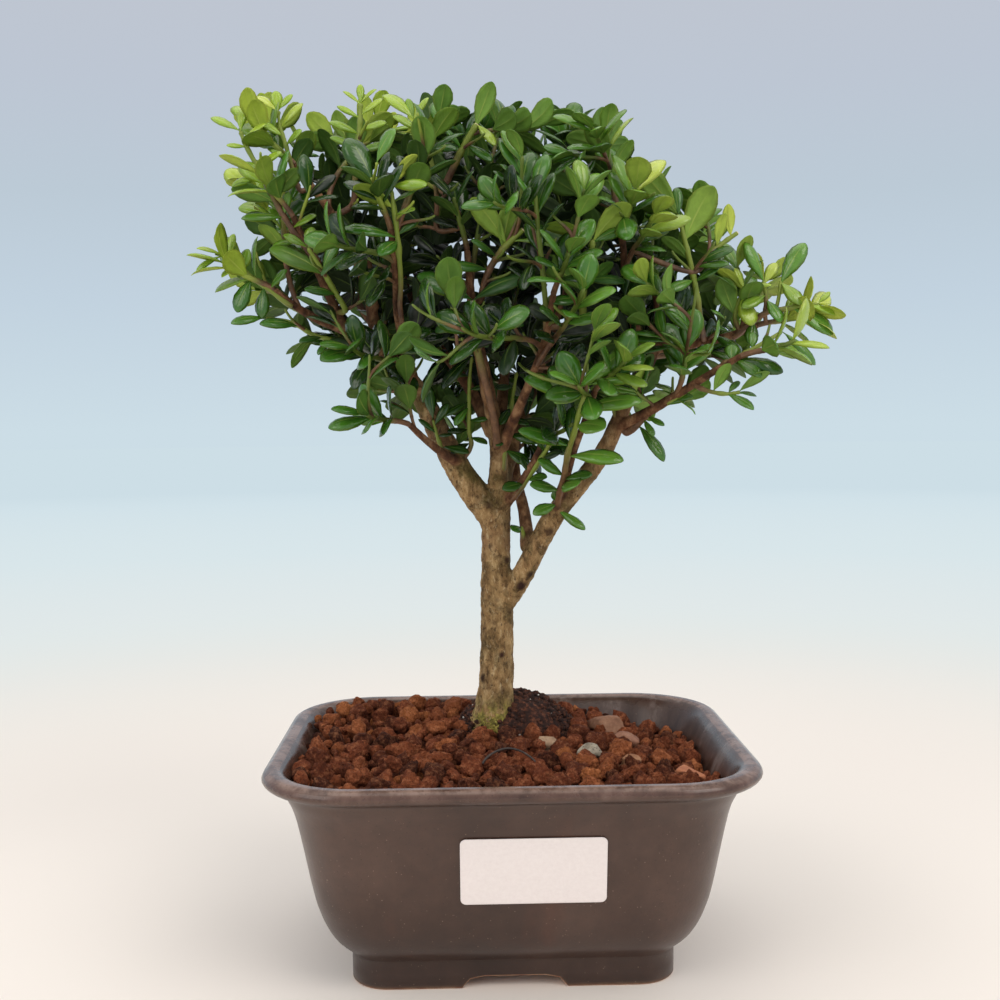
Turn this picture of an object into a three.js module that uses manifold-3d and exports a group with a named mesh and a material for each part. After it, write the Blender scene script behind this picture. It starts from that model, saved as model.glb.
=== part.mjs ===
// Japanese holly bonsai in a glazed pot. Millimetres, +Z up, +Y away from the viewer.
// The pot's own centre is x = 0, y = 0 until the last lines, which centre the whole object.
import * as THREE from 'three';
import { mergeVertices } from 'three/addons/utils/BufferGeometryUtils.js';
import Module from 'manifold-3d';

const wasm = await Module();
wasm.setup();

// Driving dimensions of the pot
const RIM_HALF_WIDTH = 75;
const RIM_HALF_DEPTH = 62.5;
const RIM_CORNER_RADIUS = 28.5;
const CORNER_TIGHTENING = 0.66;
const CORNER_STEPS = 4;
const RECESS_HEIGHT = 5;
const FOOT_BAND_WIDTH = 7;
const FRONT_ARCH_HALF_WIDTH = 16;
const SIDE_ARCH_HALF_WIDTH = 11;
const ARCH_HEIGHT = 3.6;
const ARCH_SIDE = { run: 2.5, drop: 0.8 };
const ARCH_CROWN_RUN = 7;
const RECESS_CHAMFER = { run: 2, rise: 1 };

// The pot's section, from the foot up to the rolled lip and down the inner wall: [inset from the rim, height]
const POT_SECTION = [
  [25.2, 0], [25.2, 8.6], [24.2, 9.8], [20.8, 13.2], [18.2, 17.2], [16, 22.4], [13.9, 30],
  [9.6, 52], [6.8, 59.4], [5, 62.4], [1.5, 63.6], [0, 65.4], [0.5, 67], [2.2, 68], [4.6, 67.8],
  [6.8, 66], [9.8, 60], [13.2, 50], [17.6, 30], [20.4, 22], [25.5, 14.5], [30, 12],
];
const INNER_WALL_START = 15;

// Label on the front wall
const LABEL_CENTRE_X = 5.2;
const LABEL_BOTTOM = 30.6;
const LABEL_TOP = 51.2;
const LABEL_WIDTH = 42.5;
const LABEL_THICKNESS = 0.6;
const LABEL_CORNER_RADIUS = 1.6;

// Gravel, root ball and pebbles
const GRAIN_PITCH = 11;
const GRAIN_RISE = 2.6;
const GRAIN_JITTER = 1.7;
const GROOVE_DEPTH = 1.2;
const GRAIN_RISE_VARIATION = 0.3;
const GRAIN_TILT = 0.25;
const GRAIN_TOP_REACH = [0.5, 0.75];
const GRAIN_TOP_TURN = 0.5;
const GRAVEL_SEED = 11;
const GROUND_LEVEL = 63.4;
const BACK_LEFT_HEAP = { rise: 2.4, x: [10, -20], y: [8, 45] };
const RIGHT_FALL = { drop: 6.6, x: [14, 62], y: [-48, 0] };
const TRUNK_COLLAR = { rise: 2.2, x: -4, y: 15, spread: 14 };
const HEAP_LIMIT = 90;
const ROOT_BALL_CENTRE = [3, 24, 49];
const ROOT_BALL_RADII = [25, 21, 28];
const PEBBLES = [
  { at: [12, -2], size: [4.2, 3.6, 3.2] },
  { at: [26, -8], size: [4.6, 4, 3.2] },
  { at: [38, -13], size: [4.4, 4, 3] },
  { at: [36, 33], size: [7.4, 5.6, 4] },
  { at: [41, 18], size: [4.8, 4.2, 3.2] },
  { at: [55, -24], size: [5.2, 5, 4.4] },
];
const PEBBLE_SEED = 5;
const PEBBLE_ROUGHNESS = 0.12;
const PEBBLE_SEAT = 0.35;
const ROOT_BALL_SEED = 3;
const ROOT_BALL_ROUGHNESS = 0.07;

// Gaps between pieces, round a rough piece in its pocket and at the wall, and the flatness of merged faces
const GAP = 0.3;
const POCKET_GAP = 0.45;
const WALL_GAP = 0.33;
const FLATNESS = 0.02;

// Canopy: its reach from the core, seen from the front, every 15 degrees from +X towards +Z
const CANOPY_CORE = [2, 13, 210];
const CANOPY_REACH = [
  99, 78, 76, 74, 75, 75, 73, 76, 85, 100, 112, 99, 88, 71, 60, 56, 54, 60, 70, 75, 67, 73, 72, 88,
];
const CANOPY_HALF_DEPTH = 68;
const TARGET_SHARE = 0.86;
const LOWEST_TARGET = -0.62;

// Leafy twigs: how many canopy points they reach for, and how they leave the wood and end
const CANOPY_POINTS = 35;
const TWIG_STEPS = 12;
const TWIG_BASE_RADIUS = 0.95;
const TWIG_TIP_RADIUS = 0.6;
const TWIG_LENGTH = [20, 46];
const END_TWIG_LENGTH = 17;
const END_TWIG_OUTWARD = 0.5;
const ALONG_LIMB_AT_START = 0.7;
const RISE_AT_TIP = 0.35;
const LOWEST_TWIG_HEIGHT = 100;
const SPRING_SHARES = [0.25, 0.9];
const SPRINGS_TRIED = 24;
const TURN_COST = 14;
const DESCENT_COST = 10;
const TWIG_CLEARANCE = 3.2;
const WOOD_CLEARANCE = 2.2;
const STEPS_AT_ANY_WOOD = 4;
const STEPS_AT_OWN_LIMB = 6;
const STEM_MARGIN = 0.4;

// Leaves: sizes, blade outline as shares of length and half width, and how they stand on a twig
const LEAF_SEED = 2026;
const LEAF_LENGTH = [12.5, 15.5];
const LEAF_WIDTH_SHARE = 0.5;
const TIP_LEAF_SHARE = 0.82;
const TIP_LEAVES_FROM = 0.9;
const MIDRIB_HEIGHT = 1.3;
const TIP_DROOP = 0.1;
const NECK = { along: 0.3, across: 0.68, drop: 0.02 };
const WIDEST = { along: 0.74, across: 1, drop: 0.06 };
const ROOT = { depth: 0.4, lift: 0.2 };
const LEAF_SPACING = 2.3;
const FEWEST_LEAVES = 9;
const FIRST_LEAF = 0.3;
const TURNS_TRIED = 12;
const TURN_STEP = 0.7;
const SPREAD_AT_BASE = 1.18;
const SPREAD_LOSS = 0.62;
const SPREAD_VARIATION = 0.25;
const LIGHT_SEEKING = 0.22;
const FACING_UP = 0.35;
const WHOLE_LEAF = { from: 0.08, margin: 0.15 };
const OUTER_LEAF = { from: 0.4, margin: 0.1 };
const GOLDEN_ANGLE = Math.PI * (3 - Math.sqrt(5));

// The tree's wood. Points are [x, y, height, radius].
const LIMBS = {
  trunk: [
    [-4.5, 18.5, 46, 8.6], [-4.6, 18.3, 66, 7.9], [-3.8, 18, 78, 6.2], [-3.2, 18, 94, 5.6],
    [-3.1, 18, 109, 5.5], [-3.3, 18, 121, 5], [-3.2, 18, 132, 4.9], [-3.4, 18, 143, 5.2],
  ],
  left: [
    [-3.8, 18, 139, 4.8], [-9, 17, 145, 4.8], [-14, 16, 152, 4.5], [-19.4, 14, 162, 4.1],
    [-24.8, 12, 173, 3.6], [-30, 10, 183, 3], [-37, 9, 191, 2.6], [-42, 9, 200, 2.2],
    [-44, 11, 212, 1.8], [-45, 14, 226, 1.3],
  ],
  left_top: [
    [-43, 10, 208, 1.8], [-47, 5, 222, 1.6], [-53, 0, 234, 1.4],
    [-59, -3, 243, 1.2], [-66, -5, 252, 1],
  ],
  left_outer: [
    [-39, 9, 194, 2.1], [-50, 5, 200, 1.8], [-60, 1, 204, 1.5],
    [-67, -3, 208, 1.2], [-73, -5, 213, 1],
  ],
  left_rise: [[-52, 4, 201, 1.6], [-57, -1, 213, 1.4], [-62, -6, 225, 1.2], [-66, -10, 235, 1]],
  left_back: [
    [-27, 11, 179, 2.3], [-34, 22, 190, 2], [-42, 34, 201, 1.6],
    [-50, 44, 212, 1.3], [-56, 51, 222, 1],
  ],
  left_front: [
    [-30, 10, 183, 1.9], [-32, 1, 193, 1.7], [-34, -8, 205, 1.4],
    [-34, -16, 216, 1.2], [-35, -22, 229, 1],
  ],
  left_low: [
    [-15, 14, 157, 1.8], [-20, 5, 160, 1.4],
    [-26, -1, 165, 1.2], [-31, -6, 170, 1],
  ],
  centre: [
    [-2.8, 18, 138, 3.6], [-2, 16, 151, 3.2], [-2.3, 13, 162, 2.9], [-4, 9, 172, 2.6], [-6, 5, 182, 2.3],
    [-8, 2, 192, 2], [-10, 0, 201, 1.7], [-11, -3, 212, 1.4], [-12, -6, 225, 1.1],
  ],
  centre_left: [
    [-4, 12, 167, 2.3], [-10, 15, 179, 2], [-15, 18, 187, 1.8], [-21, 20, 195, 1.6], [-26, 22, 203, 1.4],
    [-31, 25, 213, 1.2], [-35, 28, 224, 1],
  ],
  centre_back: [
    [-2.6, 20, 150, 2.6], [-1, 30, 170, 2.2], [1, 39, 188, 1.8],
    [4, 47, 205, 1.4], [9, 53, 219, 1],
  ],
  centre_right: [
    [-1, 18, 150, 2.7], [4, 22, 167, 2.3], [9, 26, 180, 2], [14, 30, 193, 1.7], [18, 33, 204, 1.5],
    [23, 35, 215, 1.2], [29, 36, 228, 1],
  ],
  front: [[-2.2, 14, 159, 2], [3, 4, 172, 1.7], [8, -6, 184, 1.4], [12, -15, 196, 1.2], [14, -23, 209, 1]],
  front_low: [[0, 16, 143, 1.7], [5, 10, 150, 1.5], [9, 5, 157, 1.2], [12, 0, 164, 1]],
  right: [
    [-3.4, 18, 107, 4], [1.4, 17, 112.5, 3.9], [5, 15, 118, 3.7], [8.5, 13, 125, 3.6], [14.2, 11, 136, 3.5],
    [18.8, 9, 143, 3.4], [23.4, 7, 149, 3.3], [28.4, 6, 155, 3.1], [33.6, 5, 163, 2.8], [39, 5, 175, 2.4],
    [46, 6, 187, 2], [51, 8, 198, 1.7], [51, 12, 210, 1.4], [49, 16, 224, 1.1],
  ],
  right_outer: [
    [50, 8, 195, 2], [57, 6, 195, 1.8], [65, 3, 196, 1.5],
    [74, 0.5, 198, 1.3], [81.5, -1, 201, 1.1],
  ],
  right_low: [
    [36, 5, 168, 1.8], [45, -4, 173, 1.6], [53, -10, 178, 1.4],
    [62, -16, 184, 1.2], [72, -20, 190, 1],
  ],
  right_back: [
    [40, 6, 177, 2.1], [47, 18, 187, 1.8], [55, 30, 197, 1.5],
    [62, 39, 207, 1.2], [68, 45, 217, 1],
  ],
  right_top: [[45, 6, 186, 1.9], [42, -1, 200, 1.6], [38, -9, 214, 1.3], [36, -16, 227, 1]],
  shoot: [
    [16.8, 10, 140, 1.6], [19, 2, 150, 1.4], [21, -7, 160, 1.2],
    [24, -14, 170, 1.1], [27, -20, 180, 1],
  ],
  inner: [
    [7.6, 14, 128, 2.3], [6.5, 20, 140, 2], [4, 28, 153, 1.8],
    [5, 35, 165, 1.6], [10, 43, 178, 1.3], [17, 51, 190, 1],
  ],
};

// Vector helpers on [x, y, z] lists
const add = (a, b) => [a[0] + b[0], a[1] + b[1], a[2] + b[2]];
const sub = (a, b) => [a[0] - b[0], a[1] - b[1], a[2] - b[2]];
const times = (a, k) => [a[0] * k, a[1] * k, a[2] * k];
const dot = (a, b) => a[0] * b[0] + a[1] * b[1] + a[2] * b[2];
const length = (a) => Math.sqrt(dot(a, a));
const unit = (a) => times(a, 1 / length(a));
const cross = (a, b) => [
  a[1] * b[2] - a[2] * b[1],
  a[2] * b[0] - a[0] * b[2],
  a[0] * b[1] - a[1] * b[0],
];
const mix = (a, b, t) => add(times(a, 1 - t), times(b, t));
const UP = [0, 0, 1];

// Seeded draws between 0 and 1
function seeded(seed) {
  let state = seed >>> 0;
  return () => {
    state = (state + 0x6d2b79f5) >>> 0;
    let t = Math.imul(state ^ (state >>> 15), state | 1);
    t = (t + Math.imul(t ^ (t >>> 7), t | 61)) ^ t;
    return ((t ^ (t >>> 14)) >>> 0) / 4294967296;
  };
}

// Solids: closed geometry into a manifold and back
function toSolid(geometry) {
  const bare = geometry.index ? geometry.clone() : geometry;
  bare.deleteAttribute('normal');
  bare.deleteAttribute('uv');
  const merged = mergeVertices(bare, 1e-4);
  const mesh = new wasm.Mesh({
    numProp: 3,
    vertProperties: Float32Array.from(merged.attributes.position.array),
    triVerts: Uint32Array.from(merged.index.array),
  });
  mesh.merge();
  return new wasm.Manifold(mesh);
}

function toGeometry(solid) {
  const mesh = solid.getMesh();
  const geometry = new THREE.BufferGeometry();
  geometry.setAttribute('position', new THREE.BufferAttribute(mesh.vertProperties, 3));
  geometry.setIndex(new THREE.BufferAttribute(mesh.triVerts, 1));
  geometry.computeVertexNormals();
  return geometry;
}

function indexedSolid(points, triangles) {
  const geometry = new THREE.BufferGeometry();
  geometry.setAttribute('position', new THREE.Float32BufferAttribute(points.flat(), 3));
  geometry.setIndex(triangles.flat());
  return toSolid(geometry);
}

const largestPiece = (solid) => solid.decompose().sort((a, b) => b.volume() - a.volume())[0];

// A closed skin through rings of equal count, each ring counter-clockwise seen from where the rings head
function loft(rings) {
  const count = rings[0].length;
  const triangles = [];
  for (let ring = 0; ring + 1 < rings.length; ring += 1) {
    for (let k = 0; k < count; k += 1) {
      const a = ring * count + k;
      const b = ring * count + ((k + 1) % count);
      triangles.push([a, b, b + count], [a, b + count, a + count]);
    }
  }
  const last = (rings.length - 1) * count;
  for (let k = 1; k + 1 < count; k += 1) {
    triangles.push([0, k + 1, k], [last, last + k, last + k + 1]);
  }
  return indexedSolid(rings.flat(), triangles);
}

// The pot's plan at an inset from the rim: a rectangle with round corners
function planRing(inset, height) {
  const radius = RIM_CORNER_RADIUS - CORNER_TIGHTENING * inset;
  const centreX = RIM_HALF_WIDTH - inset - radius;
  const centreY = RIM_HALF_DEPTH - inset - radius;
  const ring = [];
  for (let corner = 0; corner < 4; corner += 1) {
    const signX = corner === 0 || corner === 3 ? 1 : -1;
    const signY = corner < 2 ? 1 : -1;
    for (let step = 0; step <= CORNER_STEPS; step += 1) {
      const angle = (corner + step / CORNER_STEPS) * (Math.PI / 2);
      const x = signX * centreX + radius * Math.cos(angle);
      ring.push([x, signY * centreY + radius * Math.sin(angle), height]);
    }
  }
  return ring;
}

function extrudedAlongY(outline, halfLength) {
  const shape = new THREE.Shape(outline.map(([x, z]) => new THREE.Vector2(x, z)));
  const geometry = new THREE.ExtrudeGeometry(shape, { depth: 2 * halfLength, bevelEnabled: false });
  geometry.translate(0, 0, -halfLength);
  geometry.rotateX(Math.PI / 2);
  return geometry;
}

function makePot() {
  const arch = (halfWidth) => [
    [-halfWidth, -1], [halfWidth, -1], [halfWidth, 0],
    [halfWidth - ARCH_SIDE.run, ARCH_HEIGHT - ARCH_SIDE.drop],
    [halfWidth - ARCH_CROWN_RUN, ARCH_HEIGHT], [ARCH_CROWN_RUN - halfWidth, ARCH_HEIGHT],
    [ARCH_SIDE.run - halfWidth, ARCH_HEIGHT - ARCH_SIDE.drop], [-halfWidth, 0],
  ];
  const footInset = POT_SECTION[0][0];
  const recess = loft([
    planRing(footInset + FOOT_BAND_WIDTH, -1),
    planRing(footInset + FOOT_BAND_WIDTH, RECESS_HEIGHT - RECESS_CHAMFER.rise),
    planRing(footInset + FOOT_BAND_WIDTH + RECESS_CHAMFER.run, RECESS_HEIGHT),
  ]);
  const frontArch = toSolid(extrudedAlongY(arch(FRONT_ARCH_HALF_WIDTH), RIM_HALF_DEPTH));
  const crossing = extrudedAlongY(arch(SIDE_ARCH_HALF_WIDTH), RIM_HALF_WIDTH).rotateZ(Math.PI / 2);
  const sideArch = toSolid(crossing);
  return loft(POT_SECTION.map(([inset, height]) => planRing(inset, height)))
    .subtract(recess)
    .subtract(frontArch)
    .subtract(sideArch);
}

// The label lies on the straight stretch of the front wall between two points of the section
function makeLabel() {
  const [[lowInset, lowHeight], [highInset, highHeight]] = [POT_SECTION[6], POT_SECTION[7]];
  const lean = Math.atan2(lowInset - highInset, highHeight - lowHeight);
  const height = (LABEL_TOP - LABEL_BOTTOM) / Math.cos(lean);
  const halfWidth = LABEL_WIDTH / 2;
  const shape = new THREE.Shape();
  const r = LABEL_CORNER_RADIUS;
  shape.moveTo(-halfWidth + r, 0);
  shape.lineTo(halfWidth - r, 0);
  shape.absarc(halfWidth - r, r, r, -Math.PI / 2, 0);
  shape.lineTo(halfWidth, height - r);
  shape.absarc(halfWidth - r, height - r, r, 0, Math.PI / 2);
  shape.lineTo(-halfWidth + r, height);
  shape.absarc(-halfWidth + r, height - r, r, Math.PI / 2, Math.PI);
  shape.lineTo(-halfWidth, r);
  shape.absarc(-halfWidth + r, r, r, Math.PI, 1.5 * Math.PI);
  const geometry = new THREE.ExtrudeGeometry(shape, {
    depth: LABEL_THICKNESS,
    bevelEnabled: false,
    curveSegments: 2,
  });
  geometry.rotateX(Math.PI / 2);
  geometry.rotateX(lean);
  const share = (LABEL_BOTTOM - lowHeight) / (highHeight - lowHeight);
  const wallY = lowInset + (highInset - lowInset) * share - RIM_HALF_DEPTH;
  geometry.translate(LABEL_CENTRE_X, wallY - GAP / Math.cos(lean), LABEL_BOTTOM);
  return toSolid(geometry);
}

// Height of the gravel before its grains are raised: heaped at the back left, low at the right
const smooth = (low, high, value) => {
  const t = Math.min(1, Math.max(0, (value - low) / (high - low)));
  return t * t * (3 - 2 * t);
};
function groundHeight(x, y) {
  const heap = BACK_LEFT_HEAP.rise * smooth(...BACK_LEFT_HEAP.x, x) * smooth(...BACK_LEFT_HEAP.y, y);
  const fall = RIGHT_FALL.drop * smooth(...RIGHT_FALL.x, x) * (1 + smooth(...RIGHT_FALL.y, y)) / 2;
  const fromTrunk = Math.hypot(x - TRUNK_COLLAR.x, y - TRUNK_COLLAR.y);
  const collar = TRUNK_COLLAR.rise * Math.exp(-((fromTrunk / TRUNK_COLLAR.spread) ** 2) / 2);
  return GROUND_LEVEL + heap - fall + collar;
}

// Grains on a honeycomb lattice: each has a raised three-cornered top inside six low corners
function makeGravel() {
  const draw = seeded(GRAVEL_SEED);
  const points = [];
  const indexAt = new Map();
  const rowStep = GRAIN_PITCH * Math.sqrt(3) / 2;
  const cornerReach = GRAIN_PITCH / Math.sqrt(3);
  const cornerIndex = (x, y) => {
    const key = `${Math.round((2 * x) / GRAIN_PITCH)},${Math.round((2 * y) / cornerReach)}`;
    if (!indexAt.has(key)) {
      const px = x + GRAIN_JITTER * (draw() * 2 - 1);
      const py = y + GRAIN_JITTER * (draw() * 2 - 1);
      indexAt.set(key, points.length);
      points.push([px, py, groundHeight(px, py) - GROOVE_DEPTH * (1 - draw())]);
    }
    return indexAt.get(key);
  };
  const top = [];
  const rows = Math.ceil(RIM_HALF_DEPTH / rowStep);
  const columns = Math.ceil(RIM_HALF_WIDTH / GRAIN_PITCH);
  for (let row = -rows; row <= rows; row += 1) {
    for (let column = -columns; column <= columns; column += 1) {
      const centreX = (column + (row % 2 === 0 ? 0 : 0.5)) * GRAIN_PITCH;
      const centreY = row * rowStep;
      const low = [];
      for (let k = 0; k < 6; k += 1) {
        const angle = Math.PI / 6 + (k * Math.PI) / 3;
        const x = centreX + cornerReach * Math.cos(angle);
        low.push(cornerIndex(x, centreY + cornerReach * Math.sin(angle)));
      }
      const rise = GRAIN_RISE * (1 + GRAIN_RISE_VARIATION * (2 * draw() - 1));
      const high = [];
      for (let k = 0; k < 3; k += 1) {
        const angle = Math.PI / 3 + (2 * k * Math.PI) / 3 + GRAIN_TOP_TURN * (draw() - 0.5);
        const reach = cornerReach * (GRAIN_TOP_REACH[0] + (GRAIN_TOP_REACH[1] - GRAIN_TOP_REACH[0]) * draw());
        const x = centreX + reach * Math.cos(angle);
        const y = centreY + reach * Math.sin(angle);
        high.push(points.length);
        points.push([x, y, groundHeight(x, y) + rise * (1 + GRAIN_TILT * (2 * draw() - 1))]);
      }
      top.push([high[0], high[1], high[2]]);
      for (let k = 0; k < 3; k += 1) {
        const [a, b, c] = [low[2 * k], low[2 * k + 1], low[(2 * k + 2) % 6]];
        const [h, next] = [high[k], high[(k + 1) % 3]];
        top.push([a, b, h], [b, next, h], [b, c, next]);
      }
    }
  }
  const innerWall = POT_SECTION.slice(INNER_WALL_START).reverse();
  const rings = innerWall.map(([inset, height], k) => (
    planRing(inset + WALL_GAP, height + (k === 0 ? WALL_GAP : 0))
  ));
  rings.push(planRing(POT_SECTION[INNER_WALL_START][0] + WALL_GAP, HEAP_LIMIT));
  return hangDown(points, top, 0).intersect(loft(rings));
}

// Closes a sheet of upward triangles with a flat bottom and side walls
function hangDown(points, top, bottomHeight) {
  const count = points.length;
  const below = points.map(([x, y]) => [x, y, bottomHeight]);
  const triangles = top.concat(top.map(([a, b, c]) => [a + count, c + count, b + count]));
  const seen = new Set(top.flatMap(([a, b, c]) => [`${a},${b}`, `${b},${c}`, `${c},${a}`]));
  for (const edge of seen) {
    const [a, b] = edge.split(',').map(Number);
    if (!seen.has(`${b},${a}`)) {
      triangles.push([b, a, a + count], [b, a + count, b + count]);
    }
  }
  return indexedSolid(points.concat(below), triangles);
}

function ellipsoid(centre, radii, detail, roughness, seed) {
  const draw = seeded(seed);
  const icosahedron = new THREE.IcosahedronGeometry(1, detail);
  const shape = mergeVertices(icosahedron.deleteAttribute('normal').deleteAttribute('uv'));
  const position = shape.attributes.position;
  for (let k = 0; k < position.count; k += 1) {
    const swell = 1 + roughness * (draw() * 2 - 1);
    position.setXYZ(
      k,
      centre[0] + radii[0] * swell * position.getX(k),
      centre[1] + radii[1] * swell * position.getY(k),
      centre[2] + radii[2] * swell * position.getZ(k),
    );
  }
  return toSolid(shape);
}

const makeRootBall = (grow) => ellipsoid(
  ROOT_BALL_CENTRE,
  ROOT_BALL_RADII.map((radius) => radius + grow),
  1,
  ROOT_BALL_ROUGHNESS,
  ROOT_BALL_SEED,
);

function makePebble({ at: [x, y], size }, number, grow) {
  const centre = [x, y, groundHeight(x, y) + PEBBLE_SEAT * size[2]];
  return ellipsoid(centre, size.map((radius) => radius + grow), 0, PEBBLE_ROUGHNESS, PEBBLE_SEED + number);
}

// A smooth curve through the points, with the given number of steps between neighbours
function curveThrough(points, steps) {
  const last = points.length - 1;
  const curve = [];
  for (let k = 0; k < last; k += 1) {
    const p = [points[Math.max(k - 1, 0)], points[k], points[k + 1], points[Math.min(k + 2, last)]];
    for (let step = 0; step < steps; step += 1) {
      const t = step / steps;
      curve.push(p[1].map((_, axis) => {
        const [a, b, c, d] = p.map((point) => point[axis]);
        const bend = (2 * a - 5 * b + 4 * c - d) * t * t + (3 * b - a - 3 * c + d) * t ** 3;
        return (2 * b + (c - a) * t + bend) / 2;
      }));
    }
  }
  curve.push(points[last].slice());
  return curve;
}

// A tapered tube along [x, y, z, radius] points, its frame carried along without twist
function tube(path, sides, grow = 0) {
  const rings = [];
  let side = null;
  path.forEach((point, k) => {
    const ahead = sub(path[Math.min(k + 1, path.length - 1)], path[Math.max(k - 1, 0)]);
    const axis = unit(ahead);
    const start = side ?? (Math.abs(axis[2]) > 0.9 ? [1, 0, 0] : UP);
    side = unit(sub(start, times(axis, dot(start, axis))));
    const across = cross(axis, side);
    const endShift = k === 0 ? -grow : k === path.length - 1 ? grow : 0;
    const centre = add(point, times(axis, endShift));
    const ring = [];
    for (let j = 0; j < sides; j += 1) {
      const angle = (2 * Math.PI * j) / sides;
      const outward = add(times(side, Math.cos(angle)), times(across, Math.sin(angle)));
      ring.push(add(centre, times(outward, point[3] + grow)));
    }
    rings.push(ring);
  });
  return loft(rings);
}

const limbSides = (radius) => (radius > 4.8 ? 9 : radius > 3 ? 7 : radius > 2.25 ? 5 : 4);
function makeWood(grow) {
  const limbs = Object.values(LIMBS);
  return wasm.Manifold.union(limbs.map((points) => tube(points, limbSides(points[0][3]), grow)));
}

// Where leafy twigs spring from, and what they keep clear of
function woodSamples() {
  const samples = [];
  for (const [name, points] of Object.entries(LIMBS)) {
    const curve = curveThrough(points, 4);
    curve.forEach((point, k) => {
      const last = curve.length - 1;
      const axis = unit(sub(curve[Math.min(k + 1, last)], curve[Math.max(k - 1, 0)]));
      samples.push({ limb: name, at: point.slice(0, 3), radius: point[3], axis, share: k / last });
    });
  }
  return samples;
}

function canopyReach(angle) {
  const turn = ((angle / (2 * Math.PI)) % 1 + 1) % 1;
  const place = turn * CANOPY_REACH.length;
  const k = Math.floor(place) % CANOPY_REACH.length;
  const next = (k + 1) % CANOPY_REACH.length;
  return CANOPY_REACH[k] + (CANOPY_REACH[next] - CANOPY_REACH[k]) * (place - Math.floor(place));
}

// A twig from a point of the wood to its tip, bending upwards
function twigCurve(start, axis, tip) {
  const reach = length(sub(tip, start));
  const toTip = unit(sub(tip, start));
  const leave = times(unit(add(times(axis, ALONG_LIMB_AT_START), toTip)), reach);
  const arrive = times(unit(add(toTip, times(UP, RISE_AT_TIP))), reach);
  const curve = [];
  for (let k = 0; k <= TWIG_STEPS; k += 1) {
    const t = k / TWIG_STEPS;
    const toEnd = 3 * t * t - 2 * t ** 3;
    const weights = [1 - toEnd, t ** 3 - 2 * t * t + t, toEnd, t ** 3 - t * t];
    curve.push([start, leave, tip, arrive].reduce((sum, v, j) => add(sum, times(v, weights[j])), [0, 0, 0]));
  }
  return curve;
}

// New growth is lime at the top left and at both far ends
function isLime(tip) {
  const topLeft = tip[0] < -22 && tip[2] > 232;
  const farLeft = tip[0] < -78;
  const farRight = tip[0] > 80 && tip[2] > 203;
  return topLeft || farLeft || farRight;
}

// One twig goes on from the end of each limb
function endTwigs() {
  return Object.entries(LIMBS).filter(([name]) => name !== 'trunk').map(([name, points]) => {
    const end = points[points.length - 1].slice(0, 3);
    const axis = unit(sub(end, points[points.length - 2]));
    const heading = unit(add(axis, times(unit(sub(end, CANOPY_CORE)), END_TWIG_OUTWARD)));
    return { limb: name, curve: twigCurve(end, axis, add(end, times(heading, END_TWIG_LENGTH))) };
  });
}

// Points spread evenly round the core, out to the canopy's reach
function canopyTargets() {
  const targets = [];
  for (let k = 0; k < CANOPY_POINTS; k += 1) {
    const depth = 1 - (2 * (k + 0.5)) / CANOPY_POINTS;
    const turn = GOLDEN_ANGLE * k;
    const around = Math.sqrt(1 - depth * depth);
    const reach = canopyReach(turn) * around;
    const offset = [reach * Math.cos(turn), CANOPY_HALF_DEPTH * depth, reach * Math.sin(turn)];
    if (around * Math.sin(turn) > LOWEST_TARGET) {
      targets.push(add(CANOPY_CORE, times(offset, TARGET_SHARE)));
    }
  }
  return targets;
}

// The other twigs reach for the canopy's points from the nearest wood that leaves them a clear way
function growTwigs(wood) {
  const twigs = endTwigs();
  const clearOfTwigs = (curve) => twigs.every((other) => curve.every((p, k) => (
    k === 0 || other.curve.every((q, j) => j === 0 || length(sub(p, q)) > TWIG_CLEARANCE)
  )));
  const clearOfWood = (curve, limb) => curve.every((p, k) => k < STEPS_AT_ANY_WOOD || wood.every((sample) => (
    (sample.limb === limb && k < STEPS_AT_OWN_LIMB)
      || length(sub(p, sample.at)) > sample.radius + WOOD_CLEARANCE
  )));
  const usable = wood.filter(({ limb, share }) => (
    limb !== 'trunk' && share > SPRING_SHARES[0] && share < SPRING_SHARES[1]
  ));
  for (const target of canopyTargets()) {
    const springs = usable.map((sample) => {
      const way = sub(target, sample.at);
      const turnCost = TURN_COST * (1 - dot(unit(way), sample.axis));
      return { sample, way, cost: length(way) + turnCost + (way[2] < 0 ? DESCENT_COST : 0) };
    });
    springs.sort((a, b) => a.cost - b.cost);
    for (const { sample, way } of springs.slice(0, SPRINGS_TRIED)) {
      const reached = Math.min(TWIG_LENGTH[1], Math.max(TWIG_LENGTH[0], length(way)));
      const curve = twigCurve(sample.at, sample.axis, add(sample.at, times(unit(way), reached)));
      if (clearOfTwigs(curve) && clearOfWood(curve, sample.limb)) {
        twigs.push({ limb: sample.limb, curve });
        break;
      }
    }
  }
  return twigs;
}

// The box round a leaf, from a share of its length to its tip
function leafBox(leaf, { from, margin }) {
  const depth = TIP_DROOP * leaf.size + MIDRIB_HEIGHT;
  const toCentre = add(
    times(leaf.along, (leaf.size * (1 + from)) / 2),
    times(leaf.normal, MIDRIB_HEIGHT - depth / 2),
  );
  return {
    centre: add(leaf.base, toCentre),
    axes: [leaf.along, leaf.across, leaf.normal],
    half: [
      (leaf.size * (1 - from)) / 2 + margin,
      (leaf.size * LEAF_WIDTH_SHARE) / 2 + margin,
      depth / 2 + margin,
    ],
  };
}

// The box round a straight stretch of a stem
function stemBox(from, to, radius) {
  const axis = unit(sub(to, from));
  const side = unit(cross(axis, Math.abs(axis[2]) > 0.9 ? [1, 0, 0] : UP));
  return {
    centre: mix(from, to, 0.5),
    axes: [axis, side, cross(axis, side)],
    half: [length(sub(to, from)) / 2 + GAP, radius, radius],
  };
}

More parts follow.
